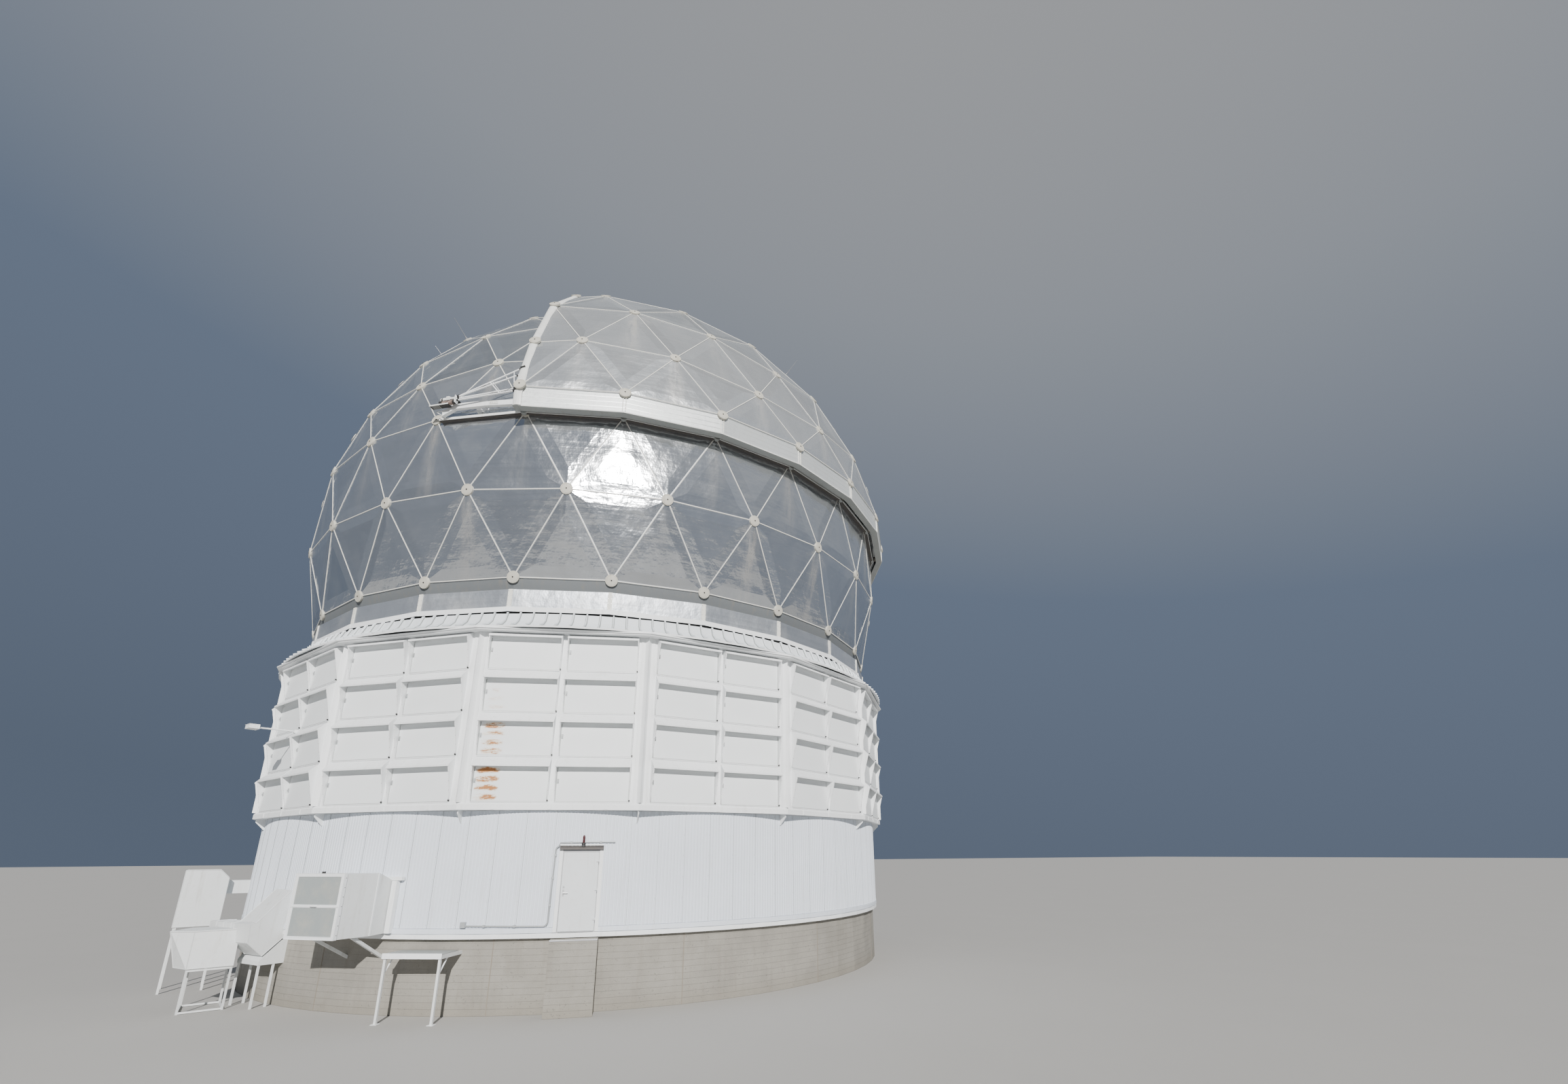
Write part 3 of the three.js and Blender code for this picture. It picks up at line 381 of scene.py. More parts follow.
@dataclass(frozen=True)
class PaintedMetal(Finish):
    """Outdoor paint on sheet metal, with run-off streaks, grime and chips down to rust."""

    dirt: float = 0.25
    chips: float = 0.0
    grain: float = 0.15

    def paint(self, s: Shader) -> bpy.types.Material:
        """Base colour, broad fading, vertical run-off and rust at the chips."""
        fading = s.noise(s.point(), 0.6, 4)
        runs = s.drawn((7, 0.45, 7), 4, 0.6).above(0.52, 0.8)
        mottle = s.noise(s.point(), 9, 5, 0.65)
        colour = s.mix(fading.above(0.35, 0.7) * 0.5, self.colour, self.shade(0.9))
        colour = s.mix(runs * self.dirt, colour, GRIME)
        colour = s.mix(mottle.above(0.5, 0.85) * self.dirt * 0.5, colour, GRIME)
        if self.chips:
            chip = s.noise(s.point(), 3.1, 6, 0.7).above(0.72 - 0.1 * self.chips, 0.78) * self.chips
            colour = s.mix(chip, colour, RUST)
        roughness = self.roughness + (mottle - 0.5) * 0.25 + runs * 0.12
        normal = s.bump(s.noise(s.point(), 26, 4), 0.004, self.grain)
        return s.surface(colour=colour, roughness=roughness, metallic=self.metallic, normal=normal)


@dataclass(frozen=True)
class RustedPanel(PaintedMetal):
    """White louvre leaf with rust blooms; the mesh says how strong they are."""

    def paint(self, s: Shader) -> bpy.types.Material:
        """White paint, then rust in ragged horizontal blotches with a pale halo."""
        fading = s.noise(s.point(), 0.7, 4)
        bloom = s.attribute("rust")
        ragged = s.drawn((2.6, 9, 2), 6, 0.72) + bloom * 0.16
        fine = s.drawn((11, 26, 9), 4, 0.7)
        heart = (ragged * 0.7 + fine * 0.3).above(0.53, 0.62) * bloom.above(0.05, 0.35)
        halo = ragged.above(0.42, 0.62) * bloom.above(0.0, 0.4)
        colour = s.mix(fading.above(0.35, 0.7) * 0.45, self.colour, self.shade(0.93))
        colour = s.mix(halo * 0.6, colour, RUST_HALO)
        colour = s.mix(heart * 0.95, colour, RUST)
        normal = s.bump(s.noise(s.point(), 5, 4) + heart * 0.6, 0.006, 0.2)
        return s.surface(colour=colour, roughness=self.roughness + heart * 0.35, metallic=0.0, normal=normal)


@dataclass(frozen=True)
class RolledSheet(Finish):
    """Mill-finish aluminium sheet: rolling lines, cloudy oxide, brown run-off under the hubs, painted sheen
    on the folds.
    """

    def paint(self, s: Shader) -> bpy.types.Material:
        """Tone, streak and margin come from the mesh; lines and clouds from noise."""
        tone, streak, margin = (s.attribute(name) for name in ("tone", "streak", "margin"))
        lines = s.drawn((0.25, 9, 0.5), 5, 0.7)
        clouds = s.noise(s.point(), 0.9, 5, 0.6)
        smear = s.drawn((4.5, 0.5, 2), 5, 0.65)
        colour = s.mix(tone, self.shade(0.72), self.shade(1.18))
        colour = s.mix(lines.above(0.35, 0.7) * 0.35, colour, self.colour)
        colour = s.mix(clouds.above(0.45, 0.75) * 0.35, colour, OXIDE)
        # Painted sheen: the folded strips are lightened in place of the light they reflect.
        colour = s.mix(margin * 0.42, colour, PAINTED_FOLD_SHEEN)
        dirt = streak * smear.above(0.3, 0.62)
        colour = s.mix(dirt * 0.75, colour, HUB_WASH)
        roughness = self.roughness + (clouds - 0.5) * 0.22 + (lines - 0.5) * 0.18 + dirt * 0.25
        ripples = s.drawn((0.7, 3.2, 0.7), 3, 0.5)
        waves = s.drawn((1.1, 0.9, 1.1), 4) + ripples * 0.28 + lines * 0.05
        normal = s.bump(waves, 0.09, 0.6)
        metallic = self.metallic - dirt * 0.4
        return s.surface(colour=colour, roughness=roughness, metallic=metallic, normal=normal)


@dataclass(frozen=True)
class BrushedSteel(Finish):
    """Bare or galvanised steel with a spangle and faint runs."""

    def paint(self, s: Shader) -> bpy.types.Material:
        """Voronoi spangle over a cloudy grey."""
        spangle = s.node("ShaderNodeTexVoronoi", None, {"Vector": s.point(), "Scale": 14.0}, out=1)
        grey = s.node("ShaderNodeRGBToBW", None, {0: spangle})
        clouds = s.noise(s.point(), 1.7, 5, 0.6)
        runs = s.drawn((6, 0.5, 6), 4).above(0.5, 0.8)
        colour = s.mix(grey * 0.25, self.colour, self.shade(1.3))
        colour = s.mix(clouds.above(0.4, 0.8) * 0.4, colour, self.shade(0.75))
        colour = s.mix(runs * 0.35, colour, GRIME)
        roughness = self.roughness + (clouds - 0.5) * 0.3
        normal = s.bump(s.noise(s.point(), 18, 4), 0.003, 0.2)
        return s.surface(colour=colour, roughness=roughness, metallic=self.metallic, normal=normal)


@dataclass(frozen=True)
class CastConcrete(Finish):
    """Weathered cast concrete: board lines, pores, damp foot and stains."""

    def paint(self, s: Shader) -> bpy.types.Material:
        """Sand and cement tones, board marks across and dark damp low down."""
        _, z, _ = s.wrapped()
        broad = s.noise(s.point(), 0.8, 6, 0.62)
        sand = s.noise(s.point(), 46, 4, 0.7)
        board_line = (z / BOARD_HEIGHT).fraction().above(0.06, 0.0)
        runs = s.drawn((5, 0.6, 5), 5, 0.6).above(0.48, 0.8)
        pores = s.noise(s.point(), 21, 2).above(0.66, 0.72)
        colour = s.mix(broad.above(0.3, 0.72), self.shade(0.78), self.colour)
        colour = s.mix(sand.above(0.35, 0.8) * 0.3, colour, self.shade(1.2))
        colour = s.mix(runs * 0.4, colour, RUN_STAIN)
        colour = s.mix(z.above(0.55, 0.0) * 0.4, colour, DAMP)
        colour = s.mix(pores * 0.5 + board_line * 0.35, colour, self.shade(0.55))
        height = sand * 0.4 + broad * 0.6 - pores * 0.8 - board_line * 0.6
        return s.surface(colour=colour, roughness=0.93 - sand * 0.1, normal=s.bump(height, 0.012, 0.7))


@dataclass(frozen=True)
class FilterCloth(Finish):
    """Fine screen cloth behind a wire grid."""

    def paint(self, s: Shader) -> bpy.types.Material:
        """A woven grid over dusty cloth."""
        around, up, _ = s.wrapped()
        weave = abs((around / WEAVE_PITCH).fraction() - 0.5) + abs((up / WEAVE_PITCH).fraction() - 0.5)
        dust = s.noise(s.point(), 2.4, 5, 0.6)
        colour = s.mix(weave.above(0.2, 0.8), self.shade(0.7), self.colour)
        colour = s.mix(dust.above(0.42, 0.8) * 0.5, colour, CLOTH_DUST)
        return s.surface(colour=colour, roughness=0.85 - dust * 0.15, normal=s.bump(weave, 0.002, 0.5))


@dataclass(frozen=True)
class PolishedLamp(Finish):
    """Glossy lamp lens or beacon glass with a little dust."""

    def paint(self, s: Shader) -> bpy.types.Material:
        """Clear colour dulled by dust."""
        dust = s.noise(s.point(), 12, 5, 0.6)
        colour = s.mix(dust.above(0.5, 0.8) * 0.5, self.colour, LENS_DUST)
        return s.surface(colour=colour, roughness=self.roughness + dust * 0.2)


SHEET = RolledSheet("aluminium_sheet", Slot.SILVER, (0.47, 0.51, 0.55), 0.17, 0.86)
SHUTTER_SHEET = RolledSheet("shutter_sheet", Slot.SILVER, (0.61, 0.65, 0.68), 0.28, 0.8)
SEAM_STRIP = BrushedSteel("seam_strip", Slot.SILVER, (0.42, 0.44, 0.46), 0.42, 0.85)
BATTEN = PaintedMetal("batten_cream", Slot.CREAM, (0.80, 0.79, 0.73), 0.5, dirt=0.3)
HUB_CREAM = PaintedMetal("hub_cream", Slot.CREAM, (0.56, 0.54, 0.47), 0.55, dirt=0.55)
EDGE_WHITE = PaintedMetal("edge_beam_white", Slot.CREAM, (0.80, 0.81, 0.79), 0.45, dirt=0.22)
BAND_WHITE = PaintedMetal("band_white", Slot.WHITE, (0.89, 0.91, 0.92), 0.5, dirt=0.16)
WALL_WHITE = PaintedMetal("siding_white", Slot.WHITE, (0.74, 0.79, 0.86), 0.48, dirt=0.16)
LEAF_WHITE = RustedPanel("louvre_leaf_white", Slot.WHITE, (0.86, 0.89, 0.90), 0.52)
PLANT_WHITE = PaintedMetal("plant_white", Slot.WHITE, (0.72, 0.74, 0.74), 0.5, dirt=0.34, chips=0.25)
FASCIA = PaintedMetal("shutter_fascia", Slot.SILVER, (0.72, 0.75, 0.75), 0.36, 0.45, dirt=0.2)
ROOF_SHEET = PaintedMetal("roof_sheet", Slot.SILVER, (0.84, 0.88, 0.91), 0.36, 0.12, dirt=0.1)
# Painted shade: dark grey in place of the shadow on the pale band under ring B.
PAINTED_SHADE_SOFFIT = PaintedMetal("soffit_painted_shade", Slot.DARK, (0.18, 0.195, 0.205), 0.6, 0.2, dirt=0.35)
BLACK_IRON = PaintedMetal("black_iron", Slot.DARK, (0.05, 0.05, 0.052), 0.5, 0.4, dirt=0.4, chips=0.3)
GREY_FLANGE = PaintedMetal("flange_grey", Slot.STEEL, (0.40, 0.42, 0.41), 0.45, 0.5, dirt=0.35)
STEEL = BrushedSteel("grey_steel", Slot.STEEL, (0.40, 0.41, 0.42), 0.4, 0.85)
DOOR_CREAM = PaintedMetal("door_cream", Slot.CREAM, (0.74, 0.77, 0.79), 0.42, dirt=0.3)
CONCRETE = CastConcrete("cast_concrete", Slot.CONCRETE, (0.31, 0.295, 0.26))
SCREEN = FilterCloth("screen_cloth", Slot.SCREEN, (0.35, 0.385, 0.385))
KICK_SHEET = RolledSheet("kick_sheet", Slot.SILVER, (0.48, 0.51, 0.55), 0.45, 0.75)
# Dark brown that is partly painted shade, for the undersides of the track ledge and the door hood.
TRACK_BROWN_AND_SHADE = PaintedMetal("track_brown_and_shade", Slot.DARK, (0.115, 0.105, 0.10), 0.6, 0.2, dirt=0.4)
WHEEL_BROWN = PaintedMetal("wheel_brown", Slot.DARK, (0.20, 0.17, 0.14), 0.6, 0.1, dirt=0.5)
OLD_PRIMER = PaintedMetal("old_primer", Slot.DARK, (0.30, 0.22, 0.19), 0.6, 0.1, dirt=0.5, chips=0.6)
RUBBER = PaintedMetal("seal_rubber", Slot.DARK, (0.03, 0.03, 0.03), 0.8, dirt=0.3)
PIPE_GREY = PaintedMetal("conduit_grey", Slot.STEEL, (0.42, 0.44, 0.45), 0.45, 0.3, dirt=0.3)
JOINT_GREY = PaintedMetal("joint_filler", Slot.CONCRETE, (0.25, 0.22, 0.18), 0.9, dirt=0.4)
BEACON_RED = PolishedLamp("beacon_red", Slot.DARK, (0.06, 0.008, 0.010), 0.2)
LAMP_GLASS = PolishedLamp("lamp_glass", Slot.SCREEN, (0.72, 0.74, 0.72), 0.12)


# Mesh making


def placed(name: str, data: bpy.types.ID) -> bpy.types.Object:
    """A new object of the given data in the scene."""
    made = bpy.data.objects.new(name, data)
    bpy.context.scene.collection.objects.link(made)
    return made


@dataclass
class Shape:
    """Points and faces gathered for one piece."""

    points: list[Vector] = field(default_factory=list)
    faces: list[tuple[int, ...]] = field(default_factory=list)
    marks: dict[str, list[float]] = field(default_factory=dict)

    def add(self, points: Sequence[Vector], faces: Iterable[Sequence[int]], **marks: Sequence[float]) -> None:
        """Adds points and the faces over them.

        Args:
            points: the new points.
            faces: their faces, counted from the first new point.
            marks: a number for each new point, by name.
        """
        start = len(self.points)
        self.points.extend(points)
        self.faces.extend(tuple(start + i for i in face) for face in faces)
        for name, values in marks.items():
            self.marks.setdefault(name, [0.0] * start).extend(values)

    def loft(self, sections: Sequence[Sequence[Vector]], closed: bool = False) -> None:
        """Skins equal sections in order; open ends get caps.

        Args:
            sections: rings of points of equal length.
            closed: whether the last section joins the first.
        """
        n, count = len(sections[0]), len(sections)
        faces: list[Sequence[int]] = []
        for s in range(count if closed else count - 1):
            a, b = s * n, ((s + 1) % count) * n
            faces += [(a + i, a + (i + 1) % n, b + (i + 1) % n, b + i) for i in range(n)]
        if not closed:
            faces += [tuple(reversed(range(n))), tuple(range((count - 1) * n, count * n))]
        self.add([p for section in sections for p in section], faces)

    def block(self, azimuth: float, t: Span, r: Span, z: Span) -> None:
        """Block in the frame square to an azimuth: tangential, radial and height ranges."""
        corners = ((t[0], r[0]), (t[0], r[1]), (t[1], r[1]), (t[1], r[0]))
        self.loft([[local(azimuth, a, b, height) for a, b in corners] for height in z])

    def put(self, azimuth: float, spot: Spot, box: Box) -> None:
        """Block whose ranges count from a place in the frame square to an azimuth."""
        self.block(azimuth, *((start + low, start + high) for start, (low, high) in zip(spot, box)))

    def row(self, azimuth: float, places: Iterable[float], box: Box) -> None:
        """The same block at several tangential places."""
        for t in places:
            self.put(azimuth, (t, 0.0, 0.0), box)

    def stay(self, azimuth: float, p: Spot, q: Spot, radius: float, sides: int = 6) -> None:
        """Round bar between two places in the frame square to an azimuth."""
        self.bar(local(azimuth, *p), local(azimuth, *q), radius, sides)

    def studs(self, azimuth: float, studs: Studs, sides: int = 6) -> None:
        """Rows of studs in the frame square to an azimuth."""
        for z in studs.heights:
            for t in studs.places:
                self.stay(azimuth, (t, studs.r[0], z), (t, studs.r[1], z), studs.size, sides)

    def bar(self, p: Vector, q: Vector, radius: float, sides: int = 8, tip: float | None = None) -> None:
        """Round bar between two points, with a radius of its own at q where it tapers to a tip."""
        self.pipe([p, q], [radius, radius if tip is None else tip], sides)

    def pipe(self, path: Sequence[Vector], radii: Sequence[float] | float, sides: int = 8) -> None:
        """Round bar along a path.

        Args:
            path: the points it follows.
            radii: its radius, one for all or one for each point.
            sides: the sides of its section.
        """
        sizes = [radii] * len(path) if isinstance(radii, (int, float)) else radii
        first = (path[1] - path[0]).normalized()
        helper = Vector((1, 0, 0)) if abs(first.z) > 0.9 else Vector((0, 0, 1))
        side = helper.cross(first).normalized()
        sections = []
        for i, (centre, size) in enumerate(zip(path, sizes)):
            before, after = path[max(i - 1, 0)], path[min(i + 1, len(path) - 1)]
            along = (after - before).normalized()
            side = (side - along * side.dot(along)).normalized()
            up = along.cross(side)
            turns = (2 * math.pi * j / sides for j in range(sides))
            sections.append([centre + (side * math.cos(a) + up * math.sin(a)) * size for a in turns])
        self.loft(sections)

    def lathe(self, centre: Vector, axis: Vector, outline: Outline, sides: int) -> None:
        """Disc-like form turned about an axis.

        Args:
            centre: the point that the outline's heights start from.
            axis: the direction that they run in.
            outline: distance out and height, from the rim at the back to the middle of the front.
            sides: the sides of each ring.
        """
        turn = axis.normalized().to_track_quat("Z", "Y")
        rings = []
        for r, z in outline:
            angles = (2 * math.pi * j / sides for j in range(sides))
            rings.append([centre + turn @ Vector((r * math.cos(a), r * math.sin(a), z)) for a in angles])
        self.loft(rings)

    def sweep(self, outline: Outline, azimuths: Sequence[float], closed: bool = False) -> None:
        """Outline in radius and height carried past azimuths round the vertical axis."""
        self.loft([[at(r, a, z) for r, z in outline] for a in azimuths], closed)

    def build(
        self, name: str, finish: Finish, body: Body = Body.BUILDING, bevel: float = 0.0, smooth: float = 30.0,
        cut: Callable[[bmesh.types.BMesh], None] | None = None,
    ) -> None:
        """Makes the piece's object, which rides on its body.

        Args:
            name: the piece's name.
            finish: its finish.
            body: the body that it rides on.
            bevel: width of its rounded edges.
            smooth: the widest angle between faces that are shaded as one, in degrees.
            cut: a last change to the mesh.
        """
        mesh = bpy.data.meshes.new(name)
        mesh.from_pydata(self.points, [], self.faces)
        for mark, values in self.marks.items():
            values += [0.0] * (len(self.points) - len(values))
            mesh.attributes.new(mark, "FLOAT", "POINT").data.foreach_set("value", values)
        work = bmesh.new()
        work.from_mesh(mesh)
        if cut:
            cut(work)
        bmesh.ops.recalc_face_normals(work, faces=work.faces)
        limit = math.radians(smooth)
        for face in work.faces:
            face.smooth = True
        for edge in work.edges:
            edge.smooth = len(edge.link_faces) == 2 and edge.calc_face_angle(0.0) < limit
        work.to_mesh(mesh)
        work.free()
        mesh.materials.append(finish.material())
        piece = placed(name, mesh)
        if bevel:
            rounding = piece.modifiers.new("edges", "BEVEL")
            rounding.width, rounding.segments, rounding.limit_method = bevel, 2, "ANGLE"
            rounding.angle_limit, rounding.harden_normals = math.radians(40), True
        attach(piece, body.value)
        LOG.info("%s: %d faces, rides on %s", name, len(mesh.polygons), body.value)


# The geodesic shell


@dataclass
class Geodesic:
    """Hubs and triangles of a five-frequency shell standing on level rings.

    The rings below the sphere are pairs of radius and height, with their hubs on whole or half lines.
    """

    radius: float
    low_rings: Sequence[tuple[float, float, bool]]
    hubs: list[Vector] = field(default_factory=list)
    triangles: list[tuple[int, int, int]] = field(default_factory=list)

    def __post_init__(self) -> None:
        """Lays out the hubs, then the triangles over them."""
        self.centre = Vector((0, 0, DOME_CENTRE_Z))
        faces = [self.face_rows(f) for f in range(FREQUENCY)]
        rows = [
            ([self.put(at(r, hub_azimuth(i + half / 2), z)) for i in range(MODULES)], half)
            for r, z, half in self.low_rings
        ]
        ring_e = [self.direction(RING_E_LATS[i % 5], i + 0.5) for i in range(MODULES)]
        rows.append(([self.put(self.centre + d * self.radius) for d in ring_e], True))
        ring_f = [faces[((i - 1) % MODULES) // 5][5][(i - 1) % 5] for i in range(MODULES)]
        rows.append(([self.put(self.centre + d * self.radius) for d in ring_f], False))
        for (low, _), (high, high_half) in zip(rows, rows[1:]):
            for i in range(MODULES):
                j = (i + 1) % MODULES
                if high_half:
                    self.triangles += [(low[i], low[j], high[i]), (low[j], high[j], high[i])]
                else:
                    self.triangles += [(low[i], high[j], high[i]), (low[i], low[j], high[j])]
        self.cap(faces, rows[-1][0])

    def put(self, point: Vector) -> int:
        """Adds a hub and returns its number."""
        self.hubs.append(point)
        return len(self.hubs) - 1

    @staticmethod
    def direction(lat: float, k: float) -> Vector:
        """Unit vector at a latitude on hub line k."""
        level = math.cos(math.radians(lat))
        return at(level, hub_azimuth(k), math.sin(math.radians(lat)))

    def face_rows(self, f: int) -> list[list[Vector]]:
        """Directions on one icosahedron face, the mean of the three ways to divide it."""
        low = (self.direction(ICOSA_LAT, k + 5 * f) for k in (1, 6))
        corners = (Vector((0, 0, 1)), *low)

        def rows(a: Vector, b: Vector, c: Vector) -> list[list[Vector]]:
            """Rows from corner a down to the side from b to c."""
            out = [[a]]
            for r in range(1, FREQUENCY + 1):
                left, right = a.slerp(b, r / FREQUENCY), a.slerp(c, r / FREQUENCY)
                out.append([left.slerp(right, i / r) for i in range(r + 1)])
            return out

        p, q, s = corners
        first, second, third = rows(p, q, s), rows(q, s, p), rows(s, p, q)
        return [
            [
                (a + second[FREQUENCY - r + i][FREQUENCY - r] + third[FREQUENCY - i][r - i]).normalized()
                for i, a in enumerate(row)
            ]
            for r, row in enumerate(first)
        ]

    def cap(self, faces: Sequence[Sequence[Sequence[Vector]]], rim: Sequence[int]) -> None:
        """Hubs and triangles above the pentagon ring.

        Args:
            faces: the directions on each icosahedron face.
            rim: the numbers of the ring's hubs.
        """
        top = self.put(self.centre + Vector((0, 0, self.radius)))
        ids = []
        for f, face in enumerate(faces):
            inner = [
                [self.put(self.centre + face[r][i] * self.radius) for i in range(r)]
                for r in range(1, FREQUENCY)
            ]
            ids.append([[top], *inner, [rim[(1 + 5 * f + i) % MODULES] for i in range(FREQUENCY + 1)]])
        for f in range(FREQUENCY):
            for r in range(1, FREQUENCY):
                ids[f][r] = ids[f][r] + [ids[(f + 1) % FREQUENCY][r][0]]
        for rows in ids:
            for r in range(FREQUENCY):
                for i in range(r + 1):
                    self.triangles.append((rows[r][i], rows[r + 1][i], rows[r + 1][i + 1]))
                    if i < r:
                        self.triangles.append((rows[r][i], rows[r + 1][i + 1], rows[r][i + 1]))

    def face_normal(self, triangle: Sequence[int]) -> Vector:
        """Outward unit normal of a triangle."""
        a, b, c = (self.hubs[i] for i in triangle)
        n = (b - a).cross(c - a).normalized()
        return n if n.dot(a + b + c - 3 * self.centre) > 0 else -n

    def edges(self) -> dict[Grid, Vector]:
        """Each edge with the mean normal of its triangles."""
        out: dict[Grid, Vector] = {}
        for triangle in self.triangles:
            n = self.face_normal(triangle)
            for a, b in zip(triangle, triangle[1:] + triangle[:1]):
                key = (min(a, b), max(a, b))
                out[key] = out.get(key, Vector()) + n
        return {key: n.normalized() for key, n in out.items()}

    def hub_normals(self) -> list[Vector]:
        """Mean outward normal at each hub."""
        sums = [Vector() for _ in self.hubs]
        for triangle in self.triangles:
            n = self.face_normal(triangle)
            for i in triangle:
                sums[i] += n
        return [n.normalized() for n in sums]


def line_of(point: Vector) -> float:
    """The hub line that a point is on, from 0 up to 25."""
    azimuth = math.degrees(math.atan2(point.x, -point.y))
    return ((azimuth - HUB_PHASE_DEG) / MODULE_DEG) % MODULES


def edge_line(k: int) -> list[Span]:
    """Where the shutter's edge meets its rows of hubs.

    Args:
        k: the edge's hub line.

    Returns:
        Radius and height of each place, from the foot to the crown.
    """
    shell = Geodesic(SHUTTER_R, [(*SHUTTER_FOOT, False)])
    plane, out = local(hub_azimuth(k), 1, 0, 0), at(1, hub_azimuth(k), 0)
    line: list[Span] = []
    for i, j in shell.edges():
        p, q = shell.hubs[i], shell.hubs[j]
        near, far = p.dot(plane), q.dot(plane)
        if abs((q - p).normalized().z) > ROW_CLIMB or p.dot(out) < 0 or near * far > TINY:
            continue
        spot = p.lerp(q, near / (near - far))
        radius = math.hypot(spot.x, spot.y)
        if radius > CROWN_R and all(abs(spot.z - z) > ROW_GAP for _, z in line):
            line.append((radius, spot.z))
    return sorted(line, key=lambda place: place[1])


def under_shutter(point: Vector, slack: float = 0.0) -> bool:
    """Whether a point lies in the shutter's sector."""
    return SHUTTER_FIRST - slack < line_of(point) < SHUTTER_LAST + slack


@dataclass(frozen=True)
class Panel:
    """One triangle of a shell: its corners, outward normal and the dirt on each hub."""

    corners: list[Vector]
    normal: Vector
    dirt: list[float]

    def __post_init__(self) -> None:
        """Works out the middle."""
        object.__setattr__(self, "centre", sum(self.corners, Vector()) / 3)


@dataclass
class ShellSkin:
    """Sheets, seam strips, battens and hubs over one geodesic shell."""

    name: str
    body: Body
    shell: Geodesic
    keep: Callable[[Vector], bool]
    seed: int
    finish: Finish = SHEET
    grid: int = 12
    margin: float = 0.40
    fold: float = 0.030
    buckle: float = 0.024
    buckle_scale: float = 1.2
    base: float = 0.004
    tones: Span = (0.2, 0.8)
    stains: Span = (0.15, 1.0)
    stain_power: float = 1.5
    wash_start: float = 0.05
    wash_width: Span = (0.14, 0.06)
    wash_reach: float = 2.4
    hub_r: float = 0.2
    hub_overlap: float = 0.8
    flange: Outline = ((-0.03, -0.014), (0.03, -0.014), (0.03, 0.002), (0.0, 0.006), (-0.03, 0.002))
    cap: Outline = (
        (-0.015, -0.004), (0.015, -0.004), (0.015, 0.009), (0.01, 0.015), (-0.01, 0.015), (-0.015, 0.009),
    )
    hub_steps: Outline = (
        (0.0, -0.035), (0.0, 0.024), (-0.008, 0.031), (-0.026, 0.033), (-0.032, 0.027), (-0.04, 0.034),
    )
    hub_middle: Outline = ((0.06, 0.044), (0.001, 0.045))
    bolt: Outline = ((0.026, 0.03), (0.026, 0.056), (0.019, 0.06), (0.001, 0.06))

    def sheets(self) -> None:
        """Every panel: three folded strips beside its edges round a slightly buckled middle."""
        shape = Shape()
        rng = random.Random(self.seed)
        stains = [rng.uniform(*self.stains) ** self.stain_power for _ in self.shell.hubs]
        for triangle in self.shell.triangles:
            corners = [self.shell.hubs[i] for i in triangle]
            panel = Panel(corners, self.shell.face_normal(triangle), [stains[i] for i in triangle])
            self.middle(shape, panel, rng.uniform(*self.tones))
            for side in range(3):
                self.strip(shape, panel, side, rng.uniform(0.0, 1.0))
        shape.build(f"{self.name}_sheets", self.finish, self.body, smooth=2.0, cut=self.trim)

    def buckled(self, point: Vector, n: Vector) -> Vector:
        """The panel's face over a point of its flat middle."""
        wave = noise.noise(point * self.buckle_scale + Vector((self.seed, 0, 0)))
        return point + n * (self.base + self.fold + self.buckle * wave)

    def fold_line(self, panel: Panel) -> list[Vector]:
        """Corners of the panel's middle, inside its folded strips."""
        return [panel.centre + (p - panel.centre) * (1 - self.margin) for p in panel.corners]

    def middle(self, shape: Shape, panel: Panel, tone: float) -> None:
        """The flat middle of a panel.

        Args:
            shape: the shape that it joins.
            panel: the panel.
            tone: how light the sheet is.
        """
        a, b, c = self.fold_line(panel)
        g, n = self.grid, panel.normal
        index: dict[Grid, int] = {}
        points = []
        for i in range(g + 1):
            for j in range(g + 1 - i):
                index[i, j] = len(points)
                points.append((a * (g - i - j) + b * i + c * j) / g)
        faces = [(index[i, j], index[i + 1, j], index[i, j + 1]) for i in range(g) for j in range(g - i)]
        faces += [
            (index[i + 1, j], index[i + 1, j + 1], index[i, j + 1])
            for i in range(g) for j in range(g - i - 1)
        ]
        streaks = [self.streak(p, panel) for p in points]
        shape.add([self.buckled(p, n) for p in points], faces, tone=[tone] * len(points), streak=streaks)

    def strip(self, shape: Shape, panel: Panel, side: int, tone: float) -> None:
        """The folded strip beside one edge of a panel, mitred at both ends.

        Args:
            shape: the shape that it joins.
            panel: the panel.
            side: the corner that the edge starts from.
            tone: how light the strip is.
        """
        inner, n = self.fold_line(panel), panel.normal
        first, second = side, (side + 1) % 3
        g, points, streaks = self.grid, [], []
        for share in steps(0, 1, g):
            outer = panel.corners[first].lerp(panel.corners[second], share)
            fold = inner[first].lerp(inner[second], share)
            points += [outer + n * self.base, self.buckled(fold, n)]
            streaks += [self.streak(outer, panel), self.streak(fold, panel)]
        faces = [(2 * i, 2 * i + 2, 2 * i + 3, 2 * i + 1) for i in range(g)]
        count = len(points)
        # The margin mark carries the painted sheen of the folded strips.
        shape.add(points, faces, tone=[tone] * count, streak=streaks, margin=[1.0] * count)

    def streak(self, point: Vector, panel: Panel) -> float:
        """How strongly dirt washed from the hubs above marks a point.

        Args:
            point: the place on the panel.
            panel: the panel.

        Returns:
            A value from 0 to 1.
        """
        side = panel.normal.cross(Vector((0, 0, 1))).normalized()
        down = side.cross(panel.normal).normalized()
        if down.z > 0:
            down = -down
        total, (narrow, spread) = 0.0, self.wash_width
        for hub, dirt in zip(panel.corners, panel.dirt):
            offset = point - hub
            fall, across = offset.dot(down), offset.dot(side)
            if fall > self.wash_start:
                width = narrow + spread * fall
                total += dirt * math.exp(-((across / width) ** 2)) * math.exp(-fall / self.wash_reach)
        return min(1.0, total)

